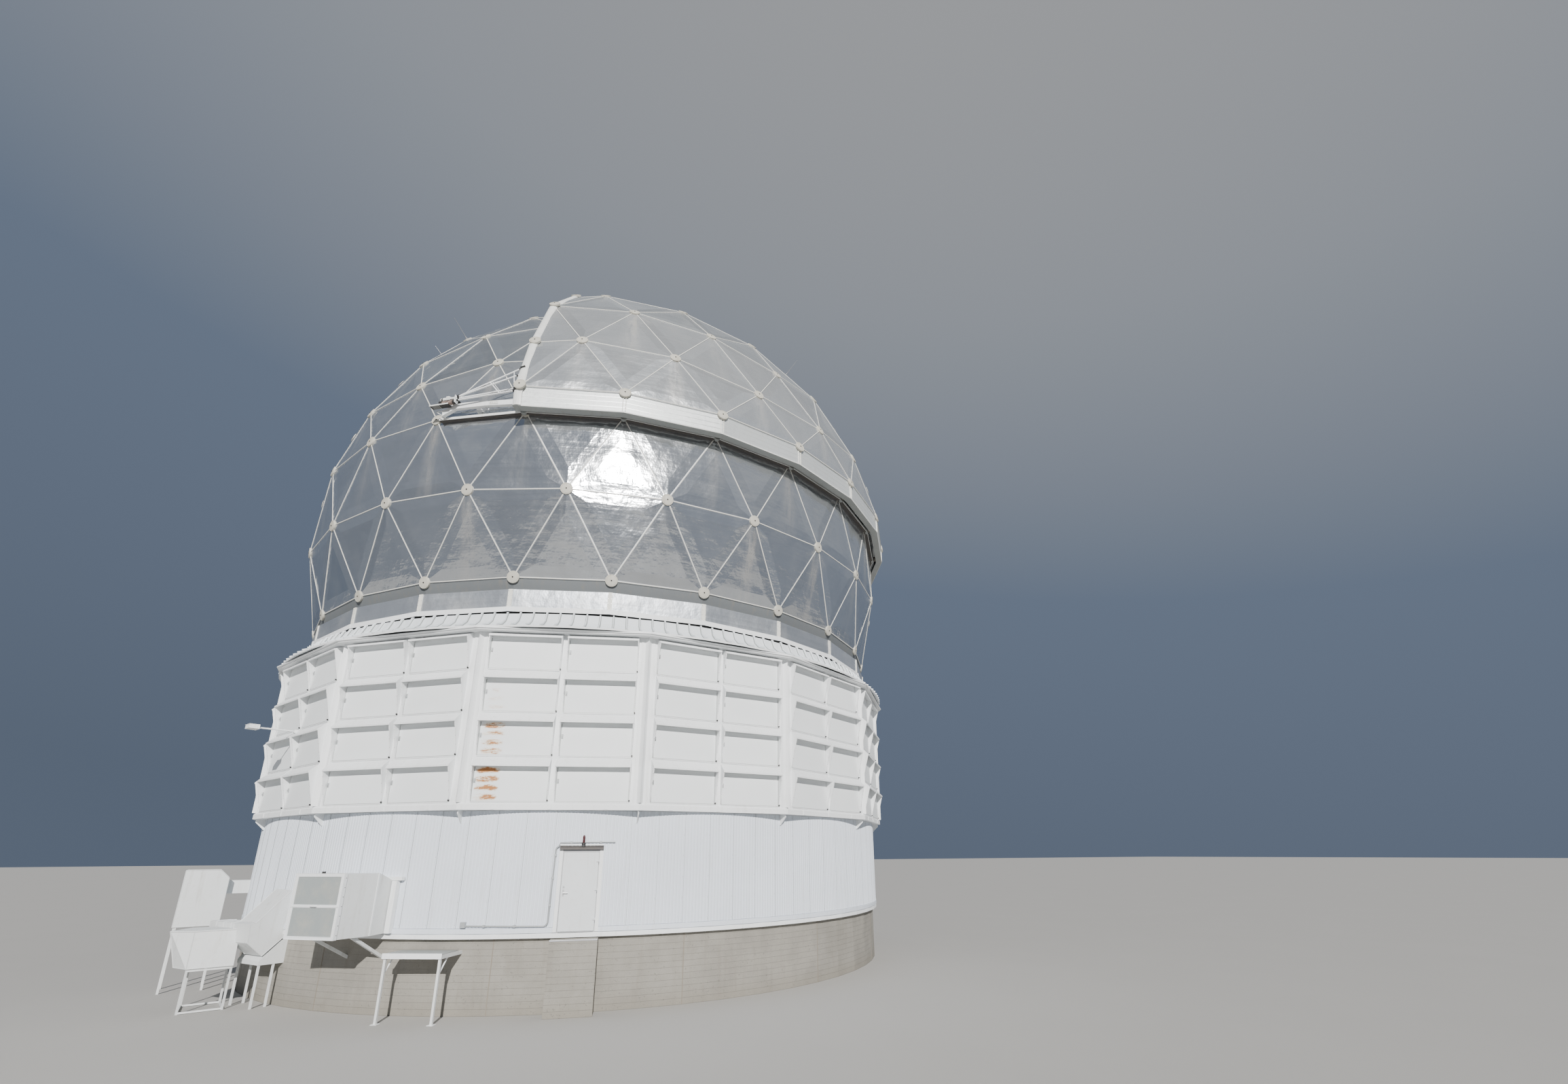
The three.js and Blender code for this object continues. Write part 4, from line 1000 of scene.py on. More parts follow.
    def trim(self, work: bmesh.types.BMesh) -> None:
        """Cuts along the shutter's two edge planes and drops what isn't kept."""
        for k in (SHUTTER_FIRST, SHUTTER_LAST):
            plane = local(hub_azimuth(k), 1, 0, 0)
            geometry = work.verts[:] + work.edges[:] + work.faces[:]
            bmesh.ops.bisect_plane(work, geom=geometry, plane_co=(0, 0, 0), plane_no=plane)
        gone = [f for f in work.faces if not self.keep(f.calc_center_median())]
        bmesh.ops.delete(work, geom=gone, context="FACES")

    def strips(self) -> None:
        """Seam strips with a raised batten along every edge of the lattice."""
        for part, outline, finish in (("seams", self.flange, SEAM_STRIP), ("battens", self.cap, BATTEN)):
            shape = Shape()
            for (i, j), n in self.shell.edges().items():
                p, q = self.shell.hubs[i], self.shell.hubs[j]
                side = (q - p).normalized().cross(n)
                inset = (q - p).normalized() * self.hub_r * self.hub_overlap
                ends = (p + inset, q - inset)
                if not any(self.keep(e) for e in (p.lerp(q, 0.15), p.lerp(q, 0.5), p.lerp(q, 0.85))):
                    continue
                shape.loft([[e + side * x + n * (self.base + y) for x, y in outline] for e in ends])
            shape.build(f"{self.name}_{part}", finish, self.body, cut=self.trim)

    def discs(self, spots: Sequence[tuple[Vector, Vector]]) -> None:
        """Round hub covers with a bolt in the middle.

        Args:
            spots: the place and the outward direction of each hub.
        """
        cover = [*((self.hub_r + r, z) for r, z in self.hub_steps), *self.hub_middle]
        covers, bolts = Shape(), Shape()
        for spot, n in spots:
            covers.lathe(spot, n, cover, 24)
            bolts.lathe(spot, n, self.bolt, 6)
        covers.build(f"{self.name}_hub_covers", HUB_CREAM, self.body)
        bolts.build(f"{self.name}_hub_bolts", BLACK_IRON, self.body)

    def build(
        self, extra: Sequence[tuple[Vector, Vector]] = (), skip: Callable[[Vector], bool] | None = None,
    ) -> None:
        """Builds all of the skin.

        Args:
            extra: hubs that the shell has only along its cut edges.
            skip: tells which hubs something else covers.
        """
        self.sheets()
        self.strips()
        spots = [(p, n) for p, n in zip(self.shell.hubs, self.shell.hub_normals()) if self.keep(p)]
        self.discs([s for s in spots if not (skip and skip(s[0]))] + list(extra))


@dataclass
class DomeSkin:
    """Skin of the dome, with the sector under the shutter left open."""

    rim_slack: float = 0.02
    open_rise: float = 0.2
    open_slack: float = 0.05

    def keep(self, point: Vector) -> bool:
        """Whether the dome has skin at a point."""
        if point.z < RING_D[1] - self.rim_slack:
            return True
        return not under_shutter(point) and math.hypot(point.x, point.y) > CROWN_R

    def build(self) -> None:
        """Sheets, battens and hubs of the dome."""
        shell = Geodesic(DOME_R, [(*RING_B, False), (*RING_C, True), (*RING_D, False)])
        skin = ShellSkin("dome", Body.DOME, shell, self.keep, seed=5)
        lowest = RING_D[1] + self.open_rise
        skin.build(skip=lambda hub: hub.z > lowest and under_shutter(hub, self.open_slack))


@dataclass
class ShutterSkin:
    """Skin of the shutter and the hubs along its edges."""

    edge_slack: float = 0.02
    hub_slack: float = 0.08
    hub_rise: float = 0.07

    def keep(self, point: Vector) -> bool:
        """Whether the shutter has skin at a point."""
        return under_shutter(point, self.edge_slack) and math.hypot(point.x, point.y) > CROWN_R

    def edge_hubs(self, shell: Geodesic) -> list[tuple[Vector, Vector]]:
        """Hubs on the edge beams, where the rows of the lattice reach the two edge planes.

        Args:
            shell: the shutter's shell.

        Returns:
            Their places and outward directions.
        """
        spots = []
        for k in (SHUTTER_FIRST, SHUTTER_LAST):
            for r, z in edge_line(k):
                spot = at(r, hub_azimuth(k), z)
                n = (spot - shell.centre).normalized()
                spots.append((spot + n * self.hub_rise, n))
        return spots

    def on_edge(self, hub: Vector) -> bool:
        """Whether a hub belongs to an edge beam."""
        return min(abs(line_of(hub) - k) for k in (SHUTTER_FIRST, SHUTTER_LAST)) < self.hub_slack

    def build(self) -> None:
        """Sheets, battens and hubs of the shutter."""
        shell = Geodesic(SHUTTER_R, [(*SHUTTER_FOOT, False)])
        skin = ShellSkin("shutter", Body.SHUTTER, shell, self.keep, seed=11, finish=SHUTTER_SHEET)
        skin.build(extra=self.edge_hubs(shell), skip=self.on_edge)


# Building


@dataclass
class LouvreBand:
    """Leaves, latches and fixings over the louvre band's two columns on each facet.

    The boxes of an opening count from its left edge, the band's inner face and its top.
    """

    hood_sheet: float = 0.028
    leaf_gap: float = 0.022
    leaf_depth: float = 0.02
    leaf_lap: float = 0.004
    leaf_bow: float = 0.008
    leaf_grid: Grid = (20, 24)
    head_gap: float = 0.012
    foot_gap: float = 0.035
    rusted: Grid = (2, 0)
    rust_of_row: Places = (0.0, 0.18, 0.8, 1.25)
    rust_middle: float = 0.36
    rust_half: float = 0.26
    rust_bands: float = 3.9
    # Dark strips at the sides and foot of each leaf: painted shade in place of the shadow in the gaps.
    gap_shade_strips: Boxes = (
        Box((0.029, 0.049), (-0.002, 0.008), (0.04 - LOUVRE_OPEN, -0.05)),
        Box((LOUVRE_WIDTH - 0.049, LOUVRE_WIDTH - 0.029), (-0.002, 0.008), (0.04 - LOUVRE_OPEN, -0.05)),
        Box((0.029, LOUVRE_WIDTH - 0.029), (0.002, 0.03), (0.026 - LOUVRE_OPEN, 0.036 - LOUVRE_OPEN)),
    )
    latch: Boxes = (
        Box((0.05, 0.105), (0.02, 0.038), (-0.5, -0.37)),
        Box((0.066, 0.09), (0.036, 0.06), (-0.47, -0.41)),
    )
    lips: Boxes = (
        Box((-0.004, LOUVRE_WIDTH + 0.004), (BAND_DEPTH - 0.02, BAND_DEPTH + 0.006), (-0.05, 0.004)),
        Box((0.03, LOUVRE_WIDTH - 0.03), (0.0, 0.03), (-0.002 - LOUVRE_OPEN, 0.026 - LOUVRE_OPEN)),
    )
    bolt_inset: float = 0.015
    bolt_lift: float = 0.06
    bolt_size: Span = (0.022, 0.04)
    screw_drops: Places = (0.2, 0.45, 0.7)
    screw_places: Places = (0.014, LOUVRE_WIDTH - 0.014)
    screw_span: Span = (-0.004, 0.008)
    post_places: Places = (-0.15, 0.15)
    post_strip: Box = Box((-0.05, 0.05), (12.62, 12.742), (BAND_BASE_TOP, BAND_TOP - 0.004))
    beam_places: Places = (-1.55, 0.0, 1.55)
    beam_strip: Box = Box(
        (-0.06, 0.06), (BAND_IN + 0.05, BAND_IN + 0.072), (BAND_BOTTOM + 0.01, BAND_BASE_TOP - 0.05)
    )

    def openings(self) -> Iterator[tuple[float, Spot, float]]:
        """Azimuth, upper left corner and rust of every opening, column by column."""
        for facet in range(BAND_SIDES):
            for column, t in enumerate((-LOUVRE_T1, LOUVRE_T0)):
                for row in range(LOUVRE_ROWS):
                    rust = self.rust_of_row[row] if (facet, column) == self.rusted else 0.0
                    yield band_corner(facet + 0.5), (t, BAND_IN, LOUVRE_TOP - LOUVRE_PITCH * row), rust

    def leaves(self) -> None:
        """The closed leaf in every opening, with rust blooms on one column."""
        shape = Shape()
        inset = self.hood_sheet + self.leaf_gap
        for azimuth, (t, _, head), rust in self.openings():
            top = head - self.hood_sheet - self.head_gap
            bottom = top + self.hood_sheet - LOUVRE_OPEN + self.foot_gap
            self.leaf(shape, azimuth, (t + inset, t + LOUVRE_WIDTH - inset), (bottom, top), rust)
        shape.build("louvre_leaves", LEAF_WHITE, smooth=25)

    def leaf(self, shape: Shape, azimuth: float, t: Span, z: Span, strength: float) -> None:
        """One leaf as a fine slab whose face bows out a little.

        Args:
            shape: the shape that it joins.
            azimuth: the facet's azimuth.
            t: its tangential range.
            z: its height range.
            strength: how rusty it is.
        """
        across, up = self.leaf_grid
        points, rust = [], []
        for j, height in enumerate(steps(*z, up)):
            for i, place in enumerate(steps(*t, across)):
                bow = self.leaf_bow * math.sin(math.pi * i / across) * math.sin(math.pi * j / up)
                points.append(local(azimuth, place, BAND_IN + self.leaf_depth + bow, height))
                near = math.exp(-(((place - t[0] - self.rust_middle) / self.rust_half) ** 4))
                share = (height - z[0]) / (z[1] - z[0])
                rust.append(near * math.sin(math.pi * (1 + self.rust_bands * share)) ** 2 * strength)
        row = across + 1
        border = [*range(row), *(row * j + across for j in range(1, up + 1))]
        border += [row * up + i for i in range(across - 1, -1, -1)]
        border += [row * j for j in range(up - 1, 0, -1)]
        start, n = len(points), len(border)
        back = at(1, azimuth, 0) * (self.leaf_depth + self.leaf_lap)
        points += [points[i] - back for i in border]
        faces = grid_faces(across, up)
        faces += [(border[(i + 1) % n], border[i], start + i, start + (i + 1) % n) for i in range(n)]
        shape.add(points, faces, rust=rust + [rust[i] for i in border])

    def fixings(self) -> None:
        """Gap shade strips, latch, hinge bolt, cheek screws and hemmed lips of every opening; the strips are
        painted shade.
        """
        latches, bolts, gap_shade_strips, lips = Shape(), Shape(), Shape(), Shape()
        radius, length = self.bolt_size
        face = BAND_IN + self.leaf_depth
        for azimuth, corner, _ in self.openings():
            for shape, boxes in ((gap_shade_strips, self.gap_shade_strips), (latches, self.latch), (lips, self.lips)):
                for box in boxes:
                    shape.put(azimuth, corner, box)
            left, _, top = corner
            hinge = left + LOUVRE_WIDTH - self.bolt_inset
            low = top - LOUVRE_OPEN + self.bolt_lift
            bolts.studs(azimuth, Studs([hinge], (face, face + length), [low], radius), 8)
            for drop in self.screw_drops:
                back, front = (BAND_OUT - BAND_DEPTH * drop / LOUVRE_OPEN + r for r in self.screw_span)
                places = [left + t for t in self.screw_places]
                latches.studs(azimuth, Studs(places, (back, front), [top - drop]))
        latches.build("louvre_latches", PIPE_GREY, bevel=0.003)
        bolts.build("louvre_bolts", BLACK_IRON)
        # Painted shade in the gaps round the leaves.
        gap_shade_strips.build("louvre_gap_shade_strips", GREY_FLANGE)
        lips.build("louvre_lips", BAND_WHITE, bevel=0.004)

    def strips(self) -> None:
        """Cover strips on the corner posts and on the beam under the band."""
        strips = Shape()
        for i in range(BAND_SIDES):
            strips.row(band_corner(i), self.post_places, self.post_strip)
            strips.row(band_corner(i + 0.5), self.beam_places, self.beam_strip)
        strips.build("band_cover_strips", BAND_WHITE, bevel=0.004)

    def build(self) -> None:
        """All of the band's dressing."""
        self.leaves()
        self.fixings()
        self.strips()


@dataclass
class SkirtRoof:
    """Standing seams on the skirt roof, grey strips of painted shade at their feet, and the drip edge at its
    eave.
    """

    seams: int = 192
    seam_shift: float = 0.3
    half: float = 0.017
    rise: float = 0.062
    sunk: float = -0.004
    # Grey strip at each seam's foot: painted shade beside the seam.
    shade_strip_half: float = 0.036
    shade_strip_rise: float = 0.012
    slope: Outline = ((12.356, 11.176), (12.372, 11.18), (12.5, 10.89), (12.72, 10.70), (13.01, 10.575))
    drip: Outline = ((13.0, 10.53), (13.022, 10.53), (13.03, 10.582), (13.0, 10.592))

    def stations(self) -> list[tuple[float, float, Vector]]:
        """Radius and height of the slope's points, each with the direction square to the sheet."""
        out = []
        for j, (r, z) in enumerate(self.slope):
            before, after = self.slope[max(j - 1, 0)], self.slope[min(j + 1, len(self.slope) - 1)]
            along = Vector((after[0] - before[0], 0, after[1] - before[1])).normalized()
            out.append((r, z, Vector((-along.z, 0, along.x))))
        return out

    def build(self) -> None:
        """One folded seam on every sheet joint, a grey strip of painted shade at its foot, and the drip edge.
        """
        half, narrow, shoulder, low = self.half, self.half * 0.7, self.rise * 0.8, self.sunk
        fold = (
            (-half, low), (half, low), (half, shoulder),
            (narrow, self.rise), (-narrow, self.rise), (-half, shoulder),
        )
        # The seam's foot strip is grey, painted shade.
        wide, thick = self.shade_strip_half, self.shade_strip_rise
        foot = ((-wide, low), (wide, low), (wide, thick), (-wide, thick))
        stations = self.stations()
        for name, outline, finish in (
            ("skirt_roof_seams", fold, ROOF_SHEET), ("skirt_roof_seam_shade_strips", foot, GREY_FLANGE),
        ):
            shape = Shape()
            for turn in full_turn(self.seams, self.seam_shift):
                azimuth = BAND_CORNER_DEG + turn
                shape.loft([
                    [local(azimuth, t, r + up.x * h, z + up.z * h) for t, h in outline]
                    for r, z, up in stations
                ])
            shape.build(name, finish)
        drip = Shape()
        drip.sweep(self.drip, full_turn(60), closed=True)
        drip.build("skirt_roof_drip", BAND_WHITE)


@dataclass
class DrumCladding:
    """Ribbed siding on the drum, split at the doorway."""

    pitch: float = 0.1
    depth: float = 0.013
    flat_r: float = DRUM_R + 0.004
    back_r: float = DRUM_R - 0.03
    rib_shares: Places = (0.40, 0.52, 0.86)
    bottom: float = 2.138
    top: float = 5.206
    door_gap: float = 0.06
    head_gap: float = 0.07
    ribs_to_lap: int = 8
    lap_shift: float = 0.31
    lap: Box = Box((0.018, 0.026), (DRUM_R + 0.007, DRUM_R + 0.02), (2.138, 5.206))
    screws: Studs = Studs([-0.012], (DRUM_R + 0.015, DRUM_R + 0.024), steps(2.218, 5.126, 5))
    foot_trim: Outline = (
        (DRUM_R + 0.002, 2.0), (DRUM_R + 0.038, 2.0), (DRUM_R + 0.036, 2.122), (DRUM_R + 0.002, 2.132),
    )

    def build(self) -> None:
        """Corrugated sheet with a closed back, the trim at its foot, and sheet laps with their screws."""
        gap = math.degrees((DOOR_HALF + self.door_gap) / DRUM_R)
        count = round(2 * math.pi * DRUM_R / self.pitch)
        step = 360 / count
        start, end = DOOR_AZ + gap, DOOR_AZ + 360 - gap
        for name, first, last, low in (
            ("drum_siding", start, end, self.bottom),
            ("drum_siding_over_door", DOOR_AZ - gap, DOOR_AZ + gap, DOOR_TOP + self.head_gap),
        ):
            self.sheet(first, last, step, low).build(name, WALL_WHITE)
        trim, laps, screws = Shape(), Shape(), Shape()
        trim.sweep(self.foot_trim, steps(start, end, 240))
        for i in range(1, count // self.ribs_to_lap):
            azimuth = start + step * (self.ribs_to_lap * i - self.lap_shift)
            laps.block(azimuth, *self.lap)
            screws.studs(azimuth, self.screws)
        trim.build("drum_foot_trim", WALL_WHITE)
        laps.build("siding_laps", PIPE_GREY)
        screws.build("siding_screws", STEEL)

    def sheet(self, start: float, end: float, step: float, low: float) -> Shape:
        """Corrugations between two azimuths.

        Args:
            start: first azimuth.
            end: last azimuth.
            step: azimuth from rib to rib.
            low: height of the sheet's foot.

        Returns:
            Their shape.
        """
        front: list[Span] = []
        azimuth = start
        crest = self.flat_r + self.depth
        while azimuth < end - step * 0.5:
            foot, rise, fall = (azimuth + step * share for share in self.rib_shares)
            front += [(azimuth, self.flat_r), (foot, self.flat_r), (rise, crest), (fall, crest)]
            azimuth += step
        front.append((end, self.flat_r))
        heights = (low, self.top)
        points = [at(r, a, z) for z in heights for a, r in front]
        points += [at(self.back_r, a, z) for z in heights for a, _ in front]
        n = len(front)
        faces = []
        for i in range(n - 1):
            faces.append((i, i + 1, n + i + 1, n + i))
            faces.append((i, 2 * n + i, 2 * n + i + 1, i + 1))
            faces.append((n + i, n + i + 1, 3 * n + i + 1, 3 * n + i))
        faces += [(0, n, 3 * n, 2 * n), (n - 1, 3 * n - 1, 4 * n - 1, 2 * n - 1)]
        shape = Shape()
        shape.add(points, faces)
        return shape


@dataclass
class KickRing:
    """Panels, cover strips and base strip of the ring under the dome's shell."""

    low: float = 11.43
    high: float = 12.03
    radius: float = 12.303
    grid: Grid = (14, 4)
    stand_off: float = 0.004
    buckle: float = 0.007
    buckle_scale: float = 1.7
    strip: Box = Box((-0.072, 0.072), (12.28, 12.322), (11.43, 12.03))
    screws: Studs = Studs((-0.055, 0.055), (12.32, 12.328), steps(11.49, 11.97, 3))
    joint: Box = Box((-0.05, 0.05), (12.36, 12.381), (11.266, 11.416))
    base: Outline = ((12.29, 11.405), (12.366, 11.262), (12.374, 11.262), (12.374, 11.42), (12.29, 11.432))
    seal: Outline = ((12.24, 11.222), (12.30, 11.222), (12.31, 11.262), (12.23, 11.262))

    def panels(self) -> None:
        """Twenty-five slightly buckled sheets."""
        shape, rng = Shape(), random.Random(3)
        across, up = self.grid
        for i in range(MODULES):
            a, b = (at(self.radius, hub_azimuth(k), 0) for k in (i, i + 1))
            out = at(1, hub_azimuth(i + 0.5), 0)
            points, tone = [], rng.uniform(0.2, 0.8)
            for z in steps(self.low, self.high, up):
                for j in range(across + 1):
                    foot = a.lerp(b, j / across) + Vector((0, 0, z))
                    inside = min(j, across - j) > 0 and self.low < z < self.high
                    swell = self.stand_off + self.buckle * noise.noise(foot * self.buckle_scale)
                    points.append(foot + out * (swell if inside else 0.0))
            shape.add(points, grid_faces(across, up), tone=[tone] * len(points))
        shape.build("kick_sheets", KICK_SHEET, Body.DOME)

    def strips(self) -> None:
        """White strip on every corner, white base strip and the seal under it."""
        covers, screws, joints, base, seal = Shape(), Shape(), Shape(), Shape(), Shape()
        ring = [hub_azimuth(k) for k in range(MODULES)]
        for azimuth in ring:
            covers.block(azimuth, *self.strip)
            joints.block(azimuth, *self.joint)
            screws.studs(azimuth, self.screws)
        base.sweep(self.base, ring, closed=True)
        seal.sweep(self.seal, ring, closed=True)
        covers.build("kick_corner_strips", BATTEN, Body.DOME, bevel=0.004)
        screws.build("kick_screws", STEEL, Body.DOME)
        base.build("kick_base_strip", BAND_WHITE, Body.DOME)
        joints.build("kick_base_joints", BAND_WHITE, Body.DOME, bevel=0.003)
        seal.build("rotation_seal", RUBBER, Body.DOME)

    def build(self) -> None:
        """All of the ring's dressing."""
        self.panels()
        self.strips()


@dataclass
class ShutterTrack:
    """Lip of the ledge, cable, hangers and splice plates along the shutter's track."""

    lip: Outline = (
        (-0.012, -0.005), (0.010, -0.005), (0.010, 0.078), (0.004, 0.084), (-0.03, 0.074), (-0.03, 0.066),
        (-0.012, 0.066),
    )
    # Dark strip just under the ledge: painted shade of its underside.
    underside_shade: Outline = ((-0.10, -0.012), (-0.05, -0.012), (-0.05, -0.0005), (-0.10, -0.0005))
    cable_r: float = 13.06
    cable_z: float = 18.25
    cable_size: float = 0.013
    cable_sag: float = 0.012
    hanger_lines: Run = (2.62, 23.12, 41)
    hanger_r: float = 13.105
    hanger_size: float = 0.009
    hanger: Outline = (
        (-0.045, 18.33), (-0.045, 18.23), (-0.02, 18.205), (0.02, 18.205), (0.045, 18.23), (0.045, 18.33),
    )
    brace: Spots = ((-0.3, 13.09, 18.145), (-0.08, 13.108, 18.34))
    brace_size: float = 0.011
    splice_shift: float = 0.3
    splice: Box = Box((-0.15, 0.15), (RAIL_OUT - 0.004, RAIL_OUT + 0.004), (18.35, 18.47))
    splice_bolts: Studs = Studs((-0.11, -0.04, 0.04, 0.11), (RAIL_OUT, RAIL_OUT + 0.007), [18.41], 0.011)
    stops: tuple[tuple[float, int], ...] = ((2.15, -1), (23.35, 1))
    stop_r: Span = (13.06, 13.235)
    stop_z: Span = (18.09, 18.335)
    stop_rod: Spots = ((0.02, 13.24, 18.27), (0.25, 13.24, 18.27), (0.06, 13.2, 18.14))
    stop_rod_size: float = 0.013
    boss_r: float = 13.0
    boss_z: float = 18.11
    boss: Outline = ((0.105, 0.0), (0.105, 0.1), (0.096, 0.112), (0.03, 0.115), (0.001, 0.115))

    @staticmethod
    def chord(k: float, radius: float, z: float) -> Vector:
        """Point on the straight run between two hub lines."""
        low = math.floor(k)
        a, b = (at(radius, hub_azimuth(i), z) for i in (low, low + 1))
        return a.lerp(b, k - low)

    def ledge(self) -> None:
        """Pale lip on the ledge's edge, and a dark strip under it that is painted shade."""
        stations = [TRACK_FROM, *TRACK_LINES, TRACK_TO]
        for name, outline, finish in (
            # The dark strip under the lip is painted shade.
            ("track_lip", self.lip, EDGE_WHITE), ("track_underside_shade", self.underside_shade, TRACK_BROWN_AND_SHADE),
        ):
            strip = Shape()
            strip.loft([[self.chord(k, LEDGE_R + r, LEDGE_LOW + z) for r, z in outline] for k in stations])
            strip.build(name, finish, Body.DOME)

    def cable(self) -> None:
        """Bus cable between ledge and rail with its hangers, and stiffeners below the rail."""
        line, hangers = Shape(), Shape()
        lines = steps(RAIL_FROM + 0.05, RAIL_TO - 0.05, 84)
        heights = [self.cable_z - self.cable_sag * (i % 2) for i in range(len(lines))]
        path = [at(self.cable_r, hub_azimuth(k), z) for k, z in zip(lines, heights)]
        line.pipe(path, self.cable_size, 6)
        line.build("track_cable", PIPE_GREY, Body.DOME)
        for i, k in enumerate(steps(*self.hanger_lines)):
            azimuth = hub_azimuth(k)
            hangers.pipe([local(azimuth, t, self.hanger_r, z) for t, z in self.hanger], self.hanger_size, 6)
            if i % 2:
                hangers.stay(azimuth, *self.brace, self.brace_size)
        hangers.build("track_hangers", STEEL, Body.DOME)

    def rail(self) -> None:
        """Splice plates with bolts on the rail, its end stops, and a boss at each hub line."""
        plates, bolts, bosses = Shape(), Shape(), Shape()
        for k in TRACK_LINES[::2]:
            azimuth = hub_azimuth(k - self.splice_shift)
            plates.block(azimuth, *self.splice)
            bolts.studs(azimuth, self.splice_bolts)
        for k, side in self.stops:
            near, far, foot = ((side * t, r, z) for t, r, z in self.stop_rod)
            plates.block(hub_azimuth(k), mirrored(side, 0.0, 0.02), self.stop_r, self.stop_z)
            plates.stay(hub_azimuth(k), near, far, self.stop_rod_size)
            plates.stay(hub_azimuth(k), far, foot, self.stop_rod_size)
        for k in TRACK_LINES:
            azimuth = hub_azimuth(k)
            bosses.lathe(at(self.boss_r, azimuth, self.boss_z), at(1, azimuth, 0), self.boss, 20)
        plates.build("track_splices", EDGE_WHITE, Body.DOME, bevel=0.003)
        bolts.build("track_bolts", STEEL, Body.DOME)
        bosses.build("track_bosses", GREY_FLANGE, Body.DOME)

    def build(self) -> None:
        """All of the track's dressing."""
        self.ledge()
        self.cable()
        self.rail()


@dataclass
class ShutterTrim:
    """Fascia, grey soffit painted as shade, wheels and edge straps of the shutter."""

    rib_heights: Places = (18.19, 18.38, 18.57)
    rib: Outline = ((13.52, -0.018), (13.534, -0.01), (13.534, 0.01), (13.52, 0.018))
    cap: Outline = ((13.5, 18.722), (13.548, 18.722), (13.556, 18.745), (13.548, 18.768), (13.5, 18.768))
    drip: Outline = ((13.526, 17.996), (13.54, 17.996), (13.546, 18.03), (13.538, 18.038), (13.526, 18.038))
    # Grey sheet under the skirt: painted shade of its underside.
    soffit: Outline = (
        (SOFFIT_IN + 0.002, 17.9985), (13.526, 17.9985), (13.526, 18.0095), (SOFFIT_IN + 0.002, 18.0095),
    )
    joint_places: Places = (-0.05, 0.05)
    joint: Box = Box((-0.015, 0.015), (13.5, 13.548), (18.03, 18.756))
    screws: Studs = Studs([0.05], (13.545, 13.554), steps(18.1, 18.696, 5), 0.008)
    tyre: Outline = (
        (0.07, -0.002), (ROLLER_R - 0.006, -0.002), (ROLLER_R - 0.0002, 0.005), (ROLLER_R - 0.0002, 0.083),
        (ROLLER_R - 0.008, 0.09), (0.07, 0.09), (0.06, 0.088), (0.045, 0.094),
    )
    nut: Outline = ((0.05, 0.14), (0.05, 0.165), (0.04, 0.172), (0.02, 0.172), (0.02, 0.19), (0.001, 0.19))
    roller_place: Span = (13.13, ROLLER_Z - 0.0002)
    roller_shift: float = 0.16
    # Grey sheet under each edge beam's foot: painted shade of its underside.
    under: Box = Box((0.01, 0.185), (13.27, 13.57), (17.9985, 18.0095))
    straps: Boxes = (
        Box((0.12, 0.192), (13.40, 13.56), (18.42, 18.432)),
        Box((0.12, 0.192), (13.40, 13.56), (18.45, 18.462)),
        Box((0.188, 0.197), (13.31, 13.52), (18.02, 18.12)),
    )
    cover_half: Span = (0.165, 0.115)
    cover_middle: Span = (0.04, -0.032)
    cover_steps: int = 12

    def fascia(self) -> None:
        """Ribs along the fascia, a drip lip, and a joint strip at each hub line."""
        lines = [hub_azimuth(k) for k in SHUTTER_LINES]
        ribs, lip, soffit, joints, screws = Shape(), Shape(), Shape(), Shape(), Shape()
        for height in self.rib_heights:
            ribs.sweep([(r, height + z) for r, z in self.rib], lines)
        ribs.sweep(self.cap, lines)
        lip.sweep(self.drip, lines)
        soffit.sweep(self.soffit, lines)
        for azimuth in lines[1:-1]:
            joints.row(azimuth, self.joint_places, self.joint)
            screws.studs(azimuth, self.screws)
        ribs.build("shutter_fascia_ribs", FASCIA, Body.SHUTTER)
        lip.build("shutter_drip_lip", EDGE_WHITE, Body.SHUTTER)
        # The grey soffit is painted shade.
        soffit.build("shutter_soffit", GREY_FLANGE, Body.SHUTTER)
        joints.build("shutter_fascia_joints", BATTEN, Body.SHUTTER, bevel=0.004)
        screws.build("shutter_fascia_screws", STEEL, Body.SHUTTER)

    def rollers(self) -> None:
        """Tyre and axle nut of the roller under the rail at each hub line."""
        tyres, nuts = Shape(), Shape()
        for k in SHUTTER_LINES:
            t = {SHUTTER_FIRST: self.roller_shift, SHUTTER_LAST: -self.roller_shift}.get(k, 0.0)
            spot, out = local(hub_azimuth(k), t, *self.roller_place), at(1, hub_azimuth(k), 0)
            tyres.lathe(spot, out, self.tyre, 32)
            nuts.lathe(spot, out, self.nut, 6)
        tyres.build("shutter_rollers", WHEEL_BROWN, Body.SHUTTER)
        nuts.build("shutter_axle_nuts", GREY_FLANGE, Body.SHUTTER)

    def cover(self, shape: Shape, k: int, side: int) -> None:
        """Rounded cover along one edge beam, in straight runs from hub to hub.

        Args:
            shape: the shape that it joins.
            k: the edge's hub line.
            side: -1 for the left edge, 1 for the right one.
        """
        (wide, deep), (across, down) = self.cover_half, self.cover_middle
        turns = steps(0, math.pi, self.cover_steps)
        arc = [(wide * math.cos(a) + across, deep * math.sin(a) + down) for a in turns]
        line = edge_line(k)
        for (r0, z0), (r1, z1) in zip(line, line[1:]):
            run = math.hypot(r1 - r0, z1 - z0)
            out = ((z1 - z0) / run, (r0 - r1) / run)
            shape.loft([
                [local(hub_azimuth(k), side * t, r + d * out[0], z + d * out[1]) for t, d in arc]
                for r, z in ((r0, z0), (r1, z1))
            ])

